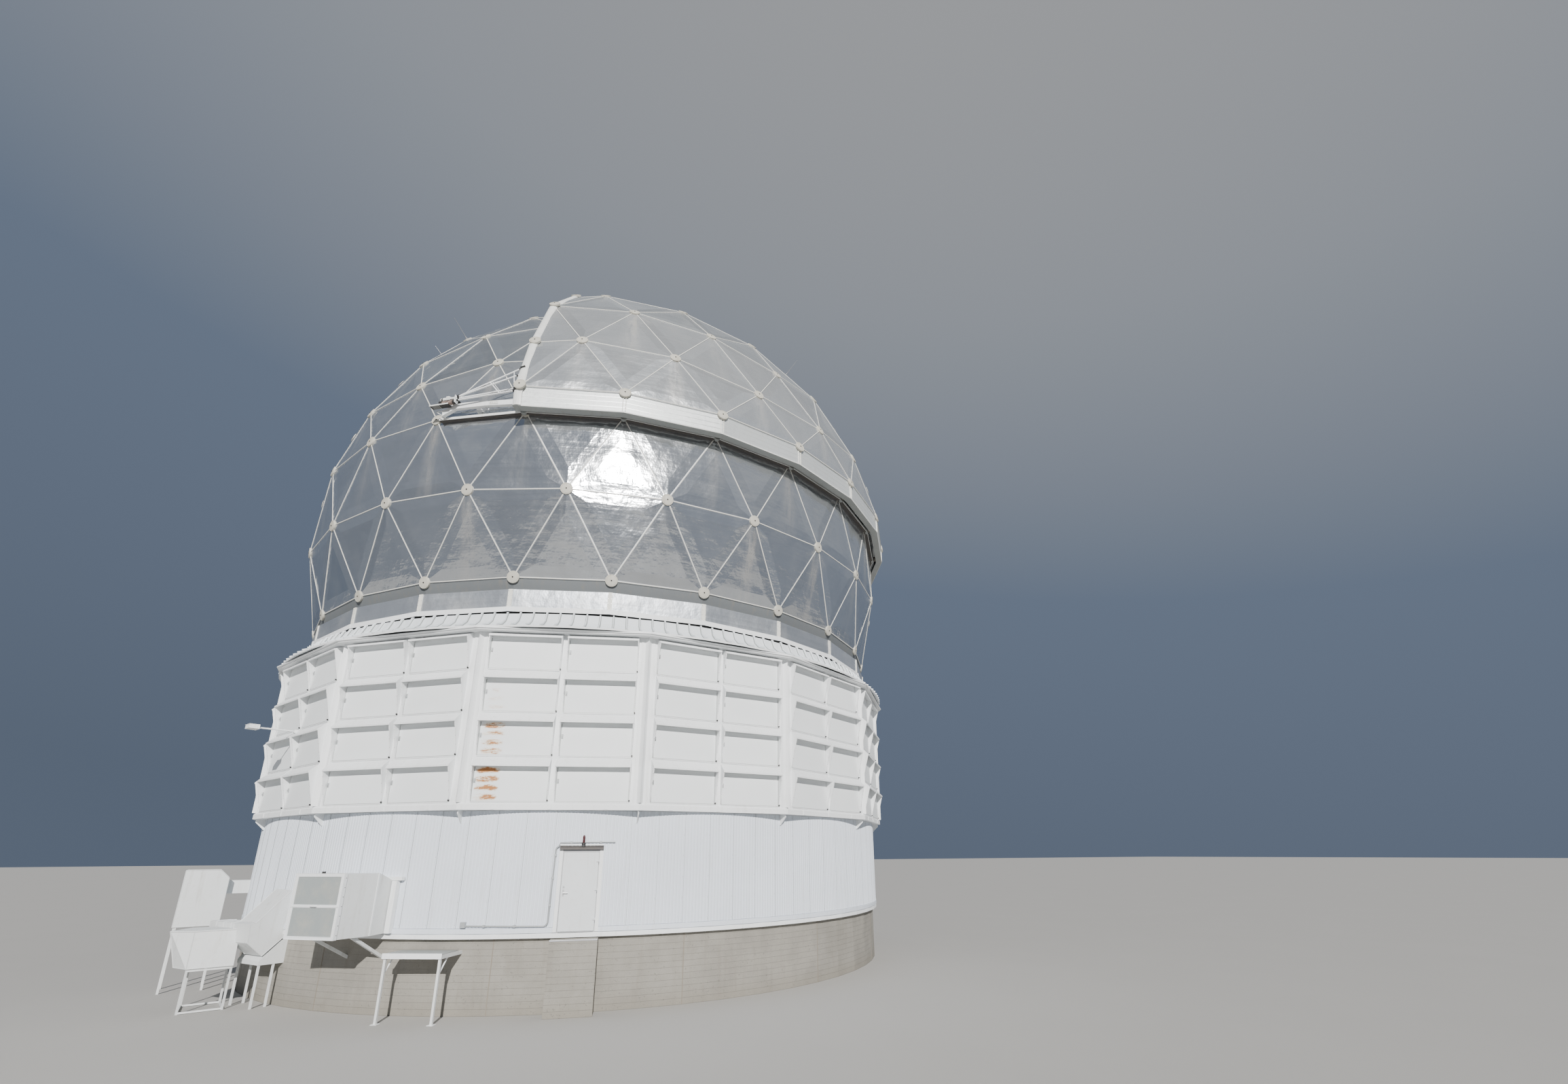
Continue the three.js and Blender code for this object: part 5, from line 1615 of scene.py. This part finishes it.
    def edges(self) -> None:
        """Seam straps and covers round both edge beams, and a grey soffit under the foot of each, painted as
        shade.
        """
        straps, covers, under = Shape(), Shape(), Shape()
        for k, side in ((SHUTTER_FIRST, -1), (SHUTTER_LAST, 1)):
            for shape, boxes in ((under, (self.under,)), (straps, self.straps)):
                for t, r, z in boxes:
                    shape.block(hub_azimuth(k), mirrored(side, *t), r, z)
            self.cover(covers, k, side)
        straps.build("edge_beam_straps", EDGE_WHITE, Body.SHUTTER)
        covers.build("edge_beam_covers", EDGE_WHITE, Body.SHUTTER)
        under.build("edge_beam_soffits", GREY_FLANGE, Body.SHUTTER)

    def build(self) -> None:
        """All of the shutter's trim."""
        self.fascia()
        self.rollers()
        self.edges()


@dataclass
class ShutterDrive:
    """Casings, bracing and cables of the shutter's drive.

    Collars are given by their tangential start and end and their radius. The truss has four tubes, each from
    its near end beside the drive to its far end on the edge beam.
    """

    azimuth: float = hub_azimuth(2.23)
    motor_place: Span = (13.33, 18.60)
    gear_place: Span = (13.37, 18.45)
    bore: float = 0.03
    collar_edge: float = 0.006
    motor_collars: tuple[Collar, ...] = ((-0.2, 0.24, 0.080), (-0.285, -0.26, 0.084), (0.05, 0.075, 0.095))
    fins: Run = (-0.19, 0.02, 9)
    fin_width: float = 0.008
    fin_r: float = 0.089
    terminal_box: Box = Box((-0.1, 0.02), (13.30, 13.38), (18.67, 18.72))
    gear_collars: tuple[Collar, ...] = (
        (-0.19, -0.05, 0.073), (-0.02, 0.0, 0.086), (0.02, 0.15, 0.073), (0.17, 0.19, 0.086),
    )
    brake_collars: tuple[Collar, ...] = ((-0.30, -0.288, 0.092), (-0.32, -0.30, 0.05))
    deck_rims: Boxes = (
        Box((-0.65, 0.07), (13.438, 13.452), (18.36, 18.40)),
        Box((-0.652, -0.638), (13.25, 13.45), (18.36, 18.40)),
    )
    deck_bars: Run = (-0.56, -0.32, 4)
    deck_bar: Box = Box((0.0, 0.012), (13.255, 13.438), (18.358, 18.366))
    near_ends: Spots = (
        (0.284, 13.35, 18.65), (0.284, 13.38, 18.62), (0.284, 13.35, 18.59), (0.284, 13.38, 18.50),
    )
    far_ends: Spots = (
        (-0.1, 13.30, 19.695), (-0.14, 13.362, 19.37), (-0.15, 13.43, 18.765), (-0.15, 13.455, 18.66),
    )
    braces: tuple[Brace, ...] = (
        (0, 0.50, 3, 0.72, 0.022, 6), (0, 0.53, 3, 0.75, 0.010, 6), (1, 0.60, 1, 0.66, 0.034, 8),
        (2, 0.62, 2, 0.70, 0.036, 8), (0, 0.86, 1, 0.90, 0.014, 6), (1, 0.90, 2, 0.95, 0.018, 6),
    )
    lug_shares: Spans = ((0.94, 0.965), (0.02, 0.05))
    lug_r: float = 0.036
    pin: Spots = ((-0.16, 13.39, 19.63), (0.0, 13.41, 19.68))
    pin_r: float = 0.026
    bracket: Box = Box((-0.2, -0.06), (13.55, 13.62), (18.60, 18.66))
    sag: float = 0.07
    lead: Spots = ((0.1, 13.34, 18.7), (0.32, 13.36, 18.72))
    cable_r: float = 0.009
    thin_cable_r: float = 0.008

    def rings(self, collars: Iterable[Collar], place: Span) -> Shape:
        """Collars round a shaft.

        Args:
            collars: their start, end and radius.
            place: the shaft's distance out and height.

        Returns:
            Their shape.
        """
        shape = Shape()
        for t0, t1, size in collars:
            edge, width = min(self.collar_edge, (t1 - t0) / 3), t1 - t0
            outline = (
                (self.bore, 0.0), (size - edge, 0.0), (size, edge),
                (size, width - edge), (size - edge, width), (self.bore, width),
            )
            shape.lathe(local(self.azimuth, t0, *place), local(self.azimuth, 1, 0, 0), outline, 24)
        return shape

    def casings(self) -> None:
        """Pale motor casing with fins, the primer-red gearbox below it, the brake disc and the deck's rim."""
        fins = [(t, t + self.fin_width, self.fin_r) for t in steps(*self.fins)]
        casing = self.rings([*self.motor_collars, *fins], self.motor_place)
        casing.block(self.azimuth, *self.terminal_box)
        casing.build("drive_motor_casing", PLANT_WHITE, Body.SHUTTER)
        self.rings(self.gear_collars, self.gear_place).build("drive_gear_casing", OLD_PRIMER, Body.SHUTTER)
        self.rings(self.brake_collars, self.gear_place).build("drive_brake_disc", BLACK_IRON, Body.SHUTTER)
        deck = Shape()
        for rim in self.deck_rims:
            deck.block(self.azimuth, *rim)
        deck.row(self.azimuth, steps(*self.deck_bars), self.deck_bar)
        deck.build("drive_deck_rim", EDGE_WHITE, Body.SHUTTER)

    def along(self, tube: int, share: float) -> Vector:
        """Place on one of the truss's tubes."""
        near = local(self.azimuth, *self.near_ends[tube])
        return near.lerp(local(hub_azimuth(SHUTTER_FIRST), *self.far_ends[tube]), share)

    def bracing(self) -> None:
        """Ladder between the tubes, and end lugs."""
        tubes, lugs = Shape(), Shape()
        for first, start, second, end, radius, sides in self.braces:
            tubes.bar(self.along(first, start), self.along(second, end), radius, sides)
        for tube in range(len(self.near_ends)):
            for start, end in self.lug_shares:
                lugs.bar(self.along(tube, start), self.along(tube, end), self.lug_r)
        lugs.stay(hub_azimuth(SHUTTER_FIRST), *self.pin, self.pin_r, 8)
        lugs.block(hub_azimuth(SHUTTER_FIRST), *self.bracket)
        tubes.build("drive_truss_bracing", BAND_WHITE, Body.SHUTTER)
        lugs.build("drive_truss_lugs", BLACK_IRON, Body.SHUTTER)

    def cables(self) -> None:
        """Three black cables that hang along the truss."""
        shape, along, drop = Shape(), self.along, Vector((0, 0, -self.sag))
        lead = [local(self.azimuth, *spot) for spot in self.lead]
        for path, radius in (
            ([along(3, 0.5), along(3, 0.62) - drop, along(2, 0.86) + drop, along(2, 0.99)], self.cable_r),
            ([along(3, 0.76), along(3, 0.9) - drop * 2, along(2, 0.985)], self.thin_cable_r),
            ([*lead, along(0, 0.3) + drop, along(0, 0.5)], self.cable_r),
        ):
            shape.pipe(path, radius, 6)
        shape.build("drive_cables", BLACK_IRON, Body.SHUTTER)

    def build(self) -> None:
        """All of the drive's dressing."""
        self.casings()
        self.bracing()
        self.cables()


@dataclass
class LightningRods:
    """Thin air rods clamped to hubs high on the shells."""

    start: float = 0.12
    height: float = 0.95
    size: float = 0.016
    tip: float = 0.006
    clamp: Outline = ((0.06, 0.03), (0.06, 0.06), (0.03, 0.085), (0.022, 0.16), (0.001, 0.16))
    spots: tuple[tuple[Body, float, float, float], ...] = (
        (Body.DOME, DOME_R, 39.3, 1.0), (Body.DOME, DOME_R, 43.1, 24.8), (Body.SHUTTER, SHUTTER_R, 43.1, 7.2),
    )

    def build(self) -> None:
        """Rod and clamp foot at each latitude and hub line."""
        for body in (Body.DOME, Body.SHUTTER):
            rods = Shape()
            for _, radius, latitude, k in (spot for spot in self.spots if spot[0] is body):
                out = Geodesic.direction(latitude, k)
                foot = Vector((0, 0, DOME_CENTRE_Z)) + out * radius
                rods.lathe(foot, out, self.clamp, 12)
                rods.bar(foot + out * self.start, foot + out * self.height, self.size, tip=self.tip)
            rods.build(f"{body.value}_lightning_rods", STEEL, body)


@dataclass
class Doorway:
    """Trim, beacon and conduit round the door, and fittings on its leaf."""

    trims: Boxes = (
        Box((-0.60, -0.50), (DRUM_R + 0.013, DRUM_R + 0.034), (2.004, 4.146)),
        Box((0.50, 0.60), (DRUM_R + 0.013, DRUM_R + 0.034), (2.004, 4.146)),
        Box((-0.60, 0.60), (DRUM_R + 0.013, DRUM_R + 0.045), (4.252, 4.30)),
    )
    sill_t: Span = (-0.46, 0.46)
    sill: Outline = ((12.28, 2.006), (12.475, 2.006), (12.475, 2.012), (12.43, 2.022), (12.28, 2.022))
    beacon_place: Spot = (0.035, 12.505, 4.30)
    beacon: Outline = ((0.034, 0.03), (0.034, 0.18), (0.028, 0.22), (0.012, 0.235), (0.001, 0.237))
    beacon_base: Outline = ((0.055, -0.03), (0.055, 0.005), (0.04, 0.03), (0.001, 0.03))
    beacon_plate: Box = Box((0.0, 0.07), (12.44, 12.52), (4.262, 4.28))
    pipe_r: float = DRUM_R + 0.052
    pipe_size: float = 0.021
    pipe_bend: float = 0.11
    pipe_low: Outline = ((-2.9, 2.2), (-2.2, 2.19), (-1.5, 2.18))
    pipe_up: Outline = ((-0.74, 2.17), (-0.72, 3.2), (-0.70, 4.24))
    pipe_over: Outline = ((-0.59, 4.33), (0.0, 4.345), (0.9, 4.35))
    saddles: Outline = (
        (-2.4, 2.193), (-1.6, 2.182), (-0.73, 2.7), (-0.715, 3.4), (-0.70, 4.0), (-0.3, 4.34), (0.5, 4.348),
    )
    saddle: Box = Box((-0.03, 0.03), (DRUM_R + 0.025, DRUM_R + 0.078), (-0.03, 0.03))
    end_box_t: float = -2.95
    end_box: Box = Box((-0.07, 0.07), (DRUM_R + 0.02, DRUM_R + 0.1), (2.15, 2.3))
    sheet_in: float = 0.02
    sheet: Span = (DRUM_R + 0.003, DRUM_R + 0.009)
    sheet_margin: float = 0.03
    lock: Box = Box((-0.435, -0.385), (DRUM_R + 0.008, DRUM_R + 0.017), (3.13, 3.19))
    cylinder: Studs = Studs([-0.41], (DRUM_R + 0.005, DRUM_R + 0.029), [3.16], 0.014)

    @staticmethod
    def beside(t: float) -> float:
        """Azimuth at a distance round the wall from the door's middle."""
        return DOOR_AZ + math.degrees(t / DRUM_R)

    def surround(self) -> None:
        """Jamb trims, threshold, drip strip over the hood and the beacon."""
        trims, sill, beacon, base = Shape(), Shape(), Shape(), Shape()
        for trim in self.trims:
            trims.block(DOOR_AZ, *trim)
        sill.loft([[local(DOOR_AZ, t, r, z) for r, z in self.sill] for t in self.sill_t])
        for shape, outline in ((beacon, self.beacon), (base, self.beacon_base)):
            shape.lathe(local(DOOR_AZ, *self.beacon_place), Vector((0, 0, 1)), outline, 16)
        base.block(DOOR_AZ, *self.beacon_plate)
        trims.build("door_jamb_trims", BAND_WHITE, bevel=0.004)
        sill.build("door_threshold", STEEL)
        beacon.build("door_beacon", BEACON_RED)
        base.build("door_beacon_base", BLACK_IRON)

    def conduit(self) -> None:
        """Pipe that runs along the foot of the wall, up beside the door and over it."""
        bend, (foot, side, head) = self.pipe_bend, self.pipe_up
        turns = [math.radians(18 * step) for step in range(1, 6)]
        spots = [*self.pipe_low, (foot[0] - bend, foot[1])]
        spots += [(foot[0] - bend + bend * math.sin(a), foot[1] + bend * (1 - math.cos(a))) for a in turns]
        spots += [side, (head[0], head[1] - bend)]
        turns = turns[:-1]
        spots += [(head[0] + bend * (1 - math.cos(a)), head[1] - bend + bend * math.sin(a)) for a in turns]
        spots += self.pipe_over
        pipe, fittings = Shape(), Shape()
        pipe.pipe([at(self.pipe_r, self.beside(t), z) for t, z in spots], self.pipe_size, 10)
        for t, z in self.saddles:
            fittings.put(self.beside(t), (0.0, 0.0, z), self.saddle)
        fittings.block(self.beside(self.end_box_t), *self.end_box)
        pipe.build("door_conduit", PIPE_GREY)
        fittings.build("conduit_fittings", PIPE_GREY, bevel=0.004)

    def leaf(self) -> None:
        """Raised sheet and lock on the leaf."""
        sheet, plates = Shape(), Shape()
        half, margin = DOOR_HALF - self.sheet_in, self.sheet_margin
        sheet.block(DOOR_AZ, (-half, half), self.sheet, (DOOR_BOTTOM + margin, DOOR_TOP - margin))
        plates.block(DOOR_AZ, *self.lock)
        plates.studs(DOOR_AZ, self.cylinder, 12)
        sheet.build("door_face_sheet", DOOR_CREAM, Body.DOOR, bevel=0.002)
        plates.build("door_plates", STEEL, Body.DOOR, bevel=0.001)

    def build(self) -> None:
        """All of the doorway's dressing."""
        self.surround()
        self.conduit()
        self.leaf()


@dataclass
class IntakeDress:
    """Screens, flanges and wall trim of the air intake."""

    half: float = 0.778
    low: float = 2.0
    high: float = 3.57
    front: float = INTAKE_FRONT + 0.0185
    rim: float = 0.058
    head_rim: float = 0.055
    bar_half: float = 0.025
    pleats: int = 40
    pleat: Span = (0.003, 0.012)
    frame_width: float = 0.012
    frame_depth: float = 0.02
    cross_rail: Box = Box((-0.778, 0.778), (0.04, 0.054), (-0.022, 0.022))
    grip: Spots = ((-0.11, 0.052, 0.0), (-0.09, 0.09, 0.0), (0.09, 0.09, 0.0), (0.11, 0.052, 0.0))
    grip_size: float = 0.011
    angle_r: Span = (INTAKE_FRONT - 0.06, INTAKE_FRONT + 0.046)
    side_angle: Box = Box((0.784, 0.802), angle_r, (1.99, 3.586))
    head_angle: Box = Box((-0.798, 0.798), angle_r, (0.0, 0.012))
    head_angle_heights: Places = (1.988, 3.572)
    seam: Box = Box((0.925, 0.937), (INTAKE_MID - 0.025, INTAKE_MID + 0.025), (2.0, 3.57))
    wall_side: Box = Box((0.96, 1.12), (12.40, 12.53), (2.02, 3.36))
    wall_head: Box = Box((-1.26, 1.26), (12.40, 12.52), (3.365, 3.46))
    bolt_t: Span = (0.796, 0.808)
    bolt_r: float = INTAKE_FRONT - 0.03
    bolt_margin: float = 0.1
    bolt_size: float = 0.01
    stop: Box = Box((0.02, 0.09), (INTAKE_FRONT - 0.04, INTAKE_FRONT + 0.02), (3.582, 3.632))

    def screens(self) -> None:
        """Two pleated cloths in their frames, and the rail with its handle."""
        centre = (self.low + self.high) / 2
        cloth, frames = Shape(), Shape()
        t0, t1 = self.rim - self.half, self.half - self.rim
        width, depth = self.frame_width, (self.front, self.front + self.frame_depth)
        folds = [(t, self.front + self.pleat[i % 2]) for i, t in enumerate(steps(t0, t1, self.pleats))]
        outline = [*folds, (t1, self.front - self.pleat[0]), (t0, self.front - self.pleat[0])]
        for z0, z1 in (
            (self.low + self.head_rim, centre - self.bar_half),
            (centre + self.bar_half, self.high - self.head_rim),
        ):
            cloth.loft([[local(INTAKE_AZ, t, r, z) for t, r in outline] for z in (z0 + 0.003, z1 - 0.003)])
            low, high = z0 + 0.002, z1 - 0.002
            for t in (t0, t1 - width):
                frames.block(INTAKE_AZ, (t, t + width), depth, (low, high))
            for z in (low, high - width):
                frames.block(INTAKE_AZ, (t0 + width, t1 - width), depth, (z, z + width))
        frames.put(INTAKE_AZ, (0.0, INTAKE_FRONT, centre), self.cross_rail)
        grip = [local(INTAKE_AZ, t, INTAKE_FRONT + r, centre + z) for t, r, z in self.grip]
        frames.pipe(grip, self.grip_size)
        cloth.build("intake_cloth", SCREEN, smooth=60)
        frames.build("intake_screen_frames", BAND_WHITE, bevel=0.003)

    def flanges(self) -> None:
        """Angles round the front, a seam where the duct bends, and trim on the wall."""
        angles, bolts = Shape(), Shape()
        for side in (-1, 1):
            for t, r, z in (self.side_angle, self.seam, self.wall_side):
                angles.block(INTAKE_AZ, mirrored(side, *t), r, z)
            inner, outer = (side * t for t in self.bolt_t)
            for z in steps(self.low + self.bolt_margin, self.high - self.bolt_margin, 6):
                bolts.stay(INTAKE_AZ, (inner, self.bolt_r, z), (outer, self.bolt_r, z), self.bolt_size)
        for z in self.head_angle_heights:
            angles.put(INTAKE_AZ, (0.0, 0.0, z), self.head_angle)
        angles.block(INTAKE_AZ, *self.wall_head)
        bolts.block(INTAKE_AZ, *self.stop)
        angles.build("intake_flanges", BAND_WHITE, bevel=0.003)
        bolts.build("intake_bolts", BLACK_IRON)

    def build(self) -> None:
        """All of the intake's dressing."""
        self.screens()
        self.flanges()


@dataclass
class PlantDress:
    """Folded edges, seams and feet of the air plant, service platform and floodlight.

    A fold is an azimuth, the tangential places where it repeats, the bar's radius and its corners.
    """

    folds: tuple[tuple[float, tuple[float, ...], float, Outline], ...] = (
        (ELBOW_AZ, (-0.948, -0.002), 0.011, (
            (12.432, 3.08), (12.432, 1.775), (12.882, 1.34), (13.302, 1.71), (13.332, 2.20), (13.182, 2.24),
            (12.432, 3.08),
        )),
        (EXHAUST_AZ, (-0.998, 0.208), 0.012, (
            (13.04, 1.9), (14.18, 1.9), (14.18, 3.6), (13.3, 3.6), (13.04, 3.35), (13.04, 1.9),
        )),
        (ELBOW_AZ, (-2.2, -1.75, -1.3), 0.014, ((12.75, 2.2), (13.25, 2.2), (13.25, 1.75))),
    )
    lid: Spans = ((-9.76, -8.96), (-10.65, -9.42), (-11.31, -9.23), (-11.24, -8.24))
    base: Spans = ((-9.70, -9.05), (-10.61, -9.50), (-11.15, -9.00), (-11.10, -8.30))
    lid_z: float = 2.045
    crease_z: Span = (1.11, 2.04)
    lid_size: float = 0.02
    crease_size: float = 0.012
    base_size: float = 0.014
    planks: int = 8
    plank_pitch: float = 0.0965
    plank: Box = Box((-0.785, 0.785), (12.468, 12.558), (1.601, 1.618))
    platform_rim: Box = Box((-0.80, 0.80), (13.241, 13.253), (1.50, 1.63))
    leg_places: Places = (-0.735, 0.735)
    foot_plate: Box = Box((-0.08, 0.08), (13.105, 13.265), (0.0, 0.012))
    knee: Spans = ((13.18, 1.12), (12.85, 1.51))
    knee_size: float = 0.02
    rim_clip: Box = Box((-0.03, 0.03), (13.25, 13.262), (1.505, 1.575))
    clip_run: Run = (-0.6, 0.6, 3)
    light_place: Spot = (0.0, 0.0, 7.92)
    lens: Box = Box((-0.165, 0.165), (13.725, 13.935), (-0.083, -0.073))
    light_parts: Boxes = (
        Box((-0.2, 0.2), (13.69, 13.70), (-0.09, 0.05)), Box((-0.2, 0.2), (13.69, 13.972), (0.045, 0.055)),
        Box((-0.06, 0.06), (12.6, 12.7), (-0.06, 0.05)),
    )
    collar_radii: Places = (12.95, 13.3)
    collar_step: Span = (0.04, 0.001)
    collar_drop: float = 0.005
    collar_size: float = 0.032

    def edges(self) -> None:
        """Folded angle along the free edges of each box."""
        angles = Shape()
        for azimuth, places, size, corners in self.folds:
            for t in places:
                for p, q in zip(corners, corners[1:]):
                    angles.stay(azimuth, (t, *p), (t, *q), size, 4)
        angles.build("plant_folded_edges", PLANT_WHITE)

    def scoop(self) -> None:
        """Lid lip, creases and foot seams of the hood on its stand."""
        lip, (low, high) = Shape(), self.crease_z
        for i in range(len(self.lid) - 1):
            a, b = (Vector((*spot, self.lid_z)) for spot in self.lid[i:i + 2])
            foot, foot_end = (Vector((*spot, low)) for spot in self.base[i:i + 2])
            lip.bar(a, b, self.lid_size, 4)
            lip.bar(foot_end, Vector((*self.lid[i + 1], high)), self.crease_size, 4)
            lip.bar(foot, foot_end, self.base_size, 4)
        lip.build("stand_hood_edges", PLANT_WHITE)

    def platform(self) -> None:
        """Planks, rim and foot plates of the service platform."""
        planks, rims = Shape(), Shape()
        for i in range(self.planks):
            planks.put(PLATFORM_AZ, (0.0, i * self.plank_pitch, 0.0), self.plank)
        rims.block(PLATFORM_AZ, *self.platform_rim)
        for t in self.leg_places:
            rims.put(PLATFORM_AZ, (t, 0.0, 0.0), self.foot_plate)
            low, high = self.knee
            rims.stay(PLATFORM_AZ, (t, *low), (t, *high), self.knee_size)
        rims.row(PLATFORM_AZ, steps(*self.clip_run), self.rim_clip)
        planks.build("platform_planks", GREY_FLANGE, bevel=0.002)
        rims.build("platform_rim", BAND_WHITE, bevel=0.002)

    def floodlight(self) -> None:
        """Lens, visor and junction box of the floodlight, and the collars on its arm."""
        azimuth, (length, fall) = band_corner(0.5), self.collar_step
        glass, body = Shape(), Shape()
        glass.put(azimuth, self.light_place, self.lens)
        for box in self.light_parts:
            body.put(azimuth, self.light_place, box)
        z = self.light_place[2] - self.collar_drop
        for r in self.collar_radii:
            body.stay(azimuth, (0, r, z), (0, r + length, z - fall), self.collar_size, 10)
        glass.build("floodlight_lens", LAMP_GLASS, bevel=0.002)
        body.build("floodlight_fittings", BAND_WHITE, bevel=0.002)

    def build(self) -> None:
        """All of the plant's dressing."""
        self.edges()
        self.scoop()
        self.platform()
        self.floodlight()


@dataclass
class FoundationDress:
    """Joints in the concrete, clips under the flashing and the nosing of the step."""

    joints: int = 15
    joint: Box = Box((-0.012, 0.012), (12.28, 12.306), (0.0, 1.86))
    clips: int = 60
    clip: Box = Box((-0.05, 0.05), (12.27, 12.36), (1.858, 1.868))
    bolt: Spots = ((0.0, 12.32, 1.84), (0.0, 12.32, 1.868))
    bolt_size: float = 0.013
    nosing: Box = Box((-0.62, 0.62), (12.835, 12.872), (1.82, 1.856))

    def build(self) -> None:
        """Vertical joints, clips with their bolts, and the nosing."""
        joints, bolts, nosing = Shape(), Shape(), Shape()
        for azimuth in full_turn(self.joints, 0.5):
            joints.block(azimuth, *self.joint)
        for azimuth in full_turn(self.clips, 0.5):
            bolts.block(azimuth, *self.clip)
            bolts.stay(azimuth, *self.bolt, self.bolt_size)
        nosing.block(DOOR_AZ, *self.nosing)
        joints.build("foundation_joints", JOINT_GREY)
        bolts.build("flashing_clips", STEEL)
        nosing.build("step_nosing", STEEL, bevel=0.004)


@dataclass
class Stage:
    """Floor, light and camera."""

    eye: Spot = (0.0, -32.949, 4.0)
    yaw: float = 14.99
    pitch: float = 18.0
    roll: float = -0.39
    lens: float = 15.243
    sensor: float = 36.0
    rise: float = 0.0611
    far: float = 1000.0
    floor_half: float = 400.0
    floor_z: float = -0.001
    floor_tones: tuple[Colour, Colour] = ((0.44, 0.43, 0.41), (0.40, 0.39, 0.37))
    sun_azimuth: float = -3.0
    sun_height: float = 26.0
    sun_energy: float = 6.0
    sun_spread: float = 0.8
    sun_colour: Colour = (1.0, 0.975, 0.94)
    sky_strength: float = 0.40
    sky_lean: float = 0.2
    sky: tuple[tuple[float, Colour], ...] = (
        (0.0, (0.26, 0.33, 0.46)), (0.45, (0.34, 0.43, 0.60)),
        (0.75, (0.70, 0.76, 0.86)), (1.0, (0.95, 0.96, 0.98)),
    )

    def camera(self) -> None:
        """Camera at the photograph's place and angle."""
        yaw, pitch, roll = (math.radians(a) for a in (self.yaw, self.pitch, self.roll))
        ahead = Vector((math.sin(yaw) * math.cos(pitch), math.cos(yaw) * math.cos(pitch), math.sin(pitch)))
        right = Vector((math.cos(yaw), -math.sin(yaw), 0))
        up = right.cross(ahead)
        side = right * math.cos(roll) + up * math.sin(roll)
        top = up * math.cos(roll) - right * math.sin(roll)
        data = bpy.data.cameras.new("camera")
        data.lens, data.sensor_width, data.sensor_fit = self.lens, self.sensor, "HORIZONTAL"
        data.shift_y, data.clip_end = self.rise, self.far
        camera = placed("camera", data)
        turn = Matrix((side, top, -ahead)).transposed().to_4x4()
        camera.matrix_world = Matrix.Translation(Vector(self.eye)) @ turn
        bpy.context.scene.camera = camera

    def floor(self) -> None:
        """Plain pale floor."""
        mesh = bpy.data.meshes.new("floor")
        size, z = self.floor_half, self.floor_z
        corners = [(-size, -size, z), (size, -size, z), (size, size, z), (-size, size, z)]
        mesh.from_pydata(corners, [], [(0, 1, 2, 3)])
        shader = Shader(bpy.data.materials.new("floor"))
        tone = shader.noise(shader.point(), 0.3, 3).above(0.3, 0.7)
        colour = shader.mix(tone * 0.15, *self.floor_tones)
        mesh.materials.append(shader.surface(colour=colour, roughness=0.9))
        floor = placed("floor", mesh)

    def lights(self) -> None:
        """A key light from the photograph's side and a soft sky."""
        data = bpy.data.lights.new("key", "SUN")
        data.energy, data.angle, data.color = self.sun_energy, math.radians(self.sun_spread), self.sun_colour
        level, height = math.cos(math.radians(self.sun_height)), math.sin(math.radians(self.sun_height))
        turn = at(level, self.sun_azimuth, height).to_track_quat("Z", "Y").to_euler()
        placed("key", data).rotation_euler = turn
        world = bpy.data.worlds.new("studio")
        air = Shader(world)
        x, _, z = air.parts(air.node("ShaderNodeTexCoord"))
        sky = air.node("ShaderNodeValToRGB", {"stops": self.sky}, {0: z + x * self.sky_lean})
        glow = air.node("ShaderNodeBackground", None, {"Color": sky, "Strength": self.sky_strength})
        air.node("ShaderNodeOutputWorld", None, {0: glow})
        bpy.context.scene.world = world

    def build(self) -> None:
        """Camera, floor and lights."""
        self.camera()
        self.floor()
        self.lights()


FRAME_FINISHES: dict[Finish, tuple[str, ...]] = {
    CONCRETE: ("foundation_plinth", "floor_slab", "door_step"),
    # The base band is painted dark grey as shade.
    PAINTED_SHADE_SOFFIT: ("dome_base_band",),
    # Partly painted shade on the track ledge and the door hood.
    TRACK_BROWN_AND_SHADE: ("shutter_track_girder", "door_hood"),
    BAND_WHITE: (
        "base_flashing", *(f"drum_wall_{i}" for i in (1, 2, 3, 4)), "drum_wall_over_door", "band_base_ring",
        *(f"louvre_wall_{i}" for i in (1, 2, 3, 4)), "cornice_ring", "opening_arch_left",
        "opening_arch_right", "shutter_track_rail", "floodlight_arm", "intake_screens", "shutter_drive_truss",
    ),
    FASCIA: ("shutter_skirt", "shutter_crown"),
    ROOF_SHEET: ("skirt_roof",),
    STEEL: (
        "ring_beam", "azimuth_rail", "base_rotation_ring", "dome_ring_beam", "dome_crown", "door_frame",
        "door_handle",
    ),
    SHEET: ("kick_panels", "dome_lower_panels", *(f"dome_upper_panels_{i}" for i in (1, 2, 3))),
    SHUTTER_SHEET: ("shutter_panels_1", "shutter_panels_2"),
    EDGE_WHITE: ("shutter_edge_beam_left", "shutter_edge_beam_right"),
    BLACK_IRON: ("shutter_drive_motor",),
    DOOR_CREAM: ("door_leaf",),
    PLANT_WHITE: (
        "intake_hood", "elbow_duct", "plenum_box", "stand_hood", "stand_frame", "exhaust_hood",
        "service_platform",
    ),
}


def dress_frame() -> None:
    """Gives every node of the frame its finish."""
    for finish, names in FRAME_FINISHES.items():
        for name in names:
            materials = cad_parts[name].data.materials
            materials.clear()
            materials.append(finish.material())
    missing = set(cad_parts) - {name for names in FRAME_FINISHES.values() for name in names}
    if missing:
        LOG.warning("no finish for %s", sorted(missing))


def main() -> None:
    """Builds the scene in order."""
    logging.basicConfig(level=logging.INFO, format="%(name)s: %(message)s")
    Stage().build()
    dress_frame()
    assemblies = (
        DomeSkin(), ShutterSkin(), KickRing(), ShutterTrack(), ShutterTrim(), ShutterDrive(), LightningRods(),
        LouvreBand(), SkirtRoof(), DrumCladding(), Doorway(), IntakeDress(), PlantDress(), FoundationDress(),
    )
    for assembly in assemblies:
        LOG.info("building %s", type(assembly).__name__)
        assembly.build()


if __name__ == "__main__":
    main()
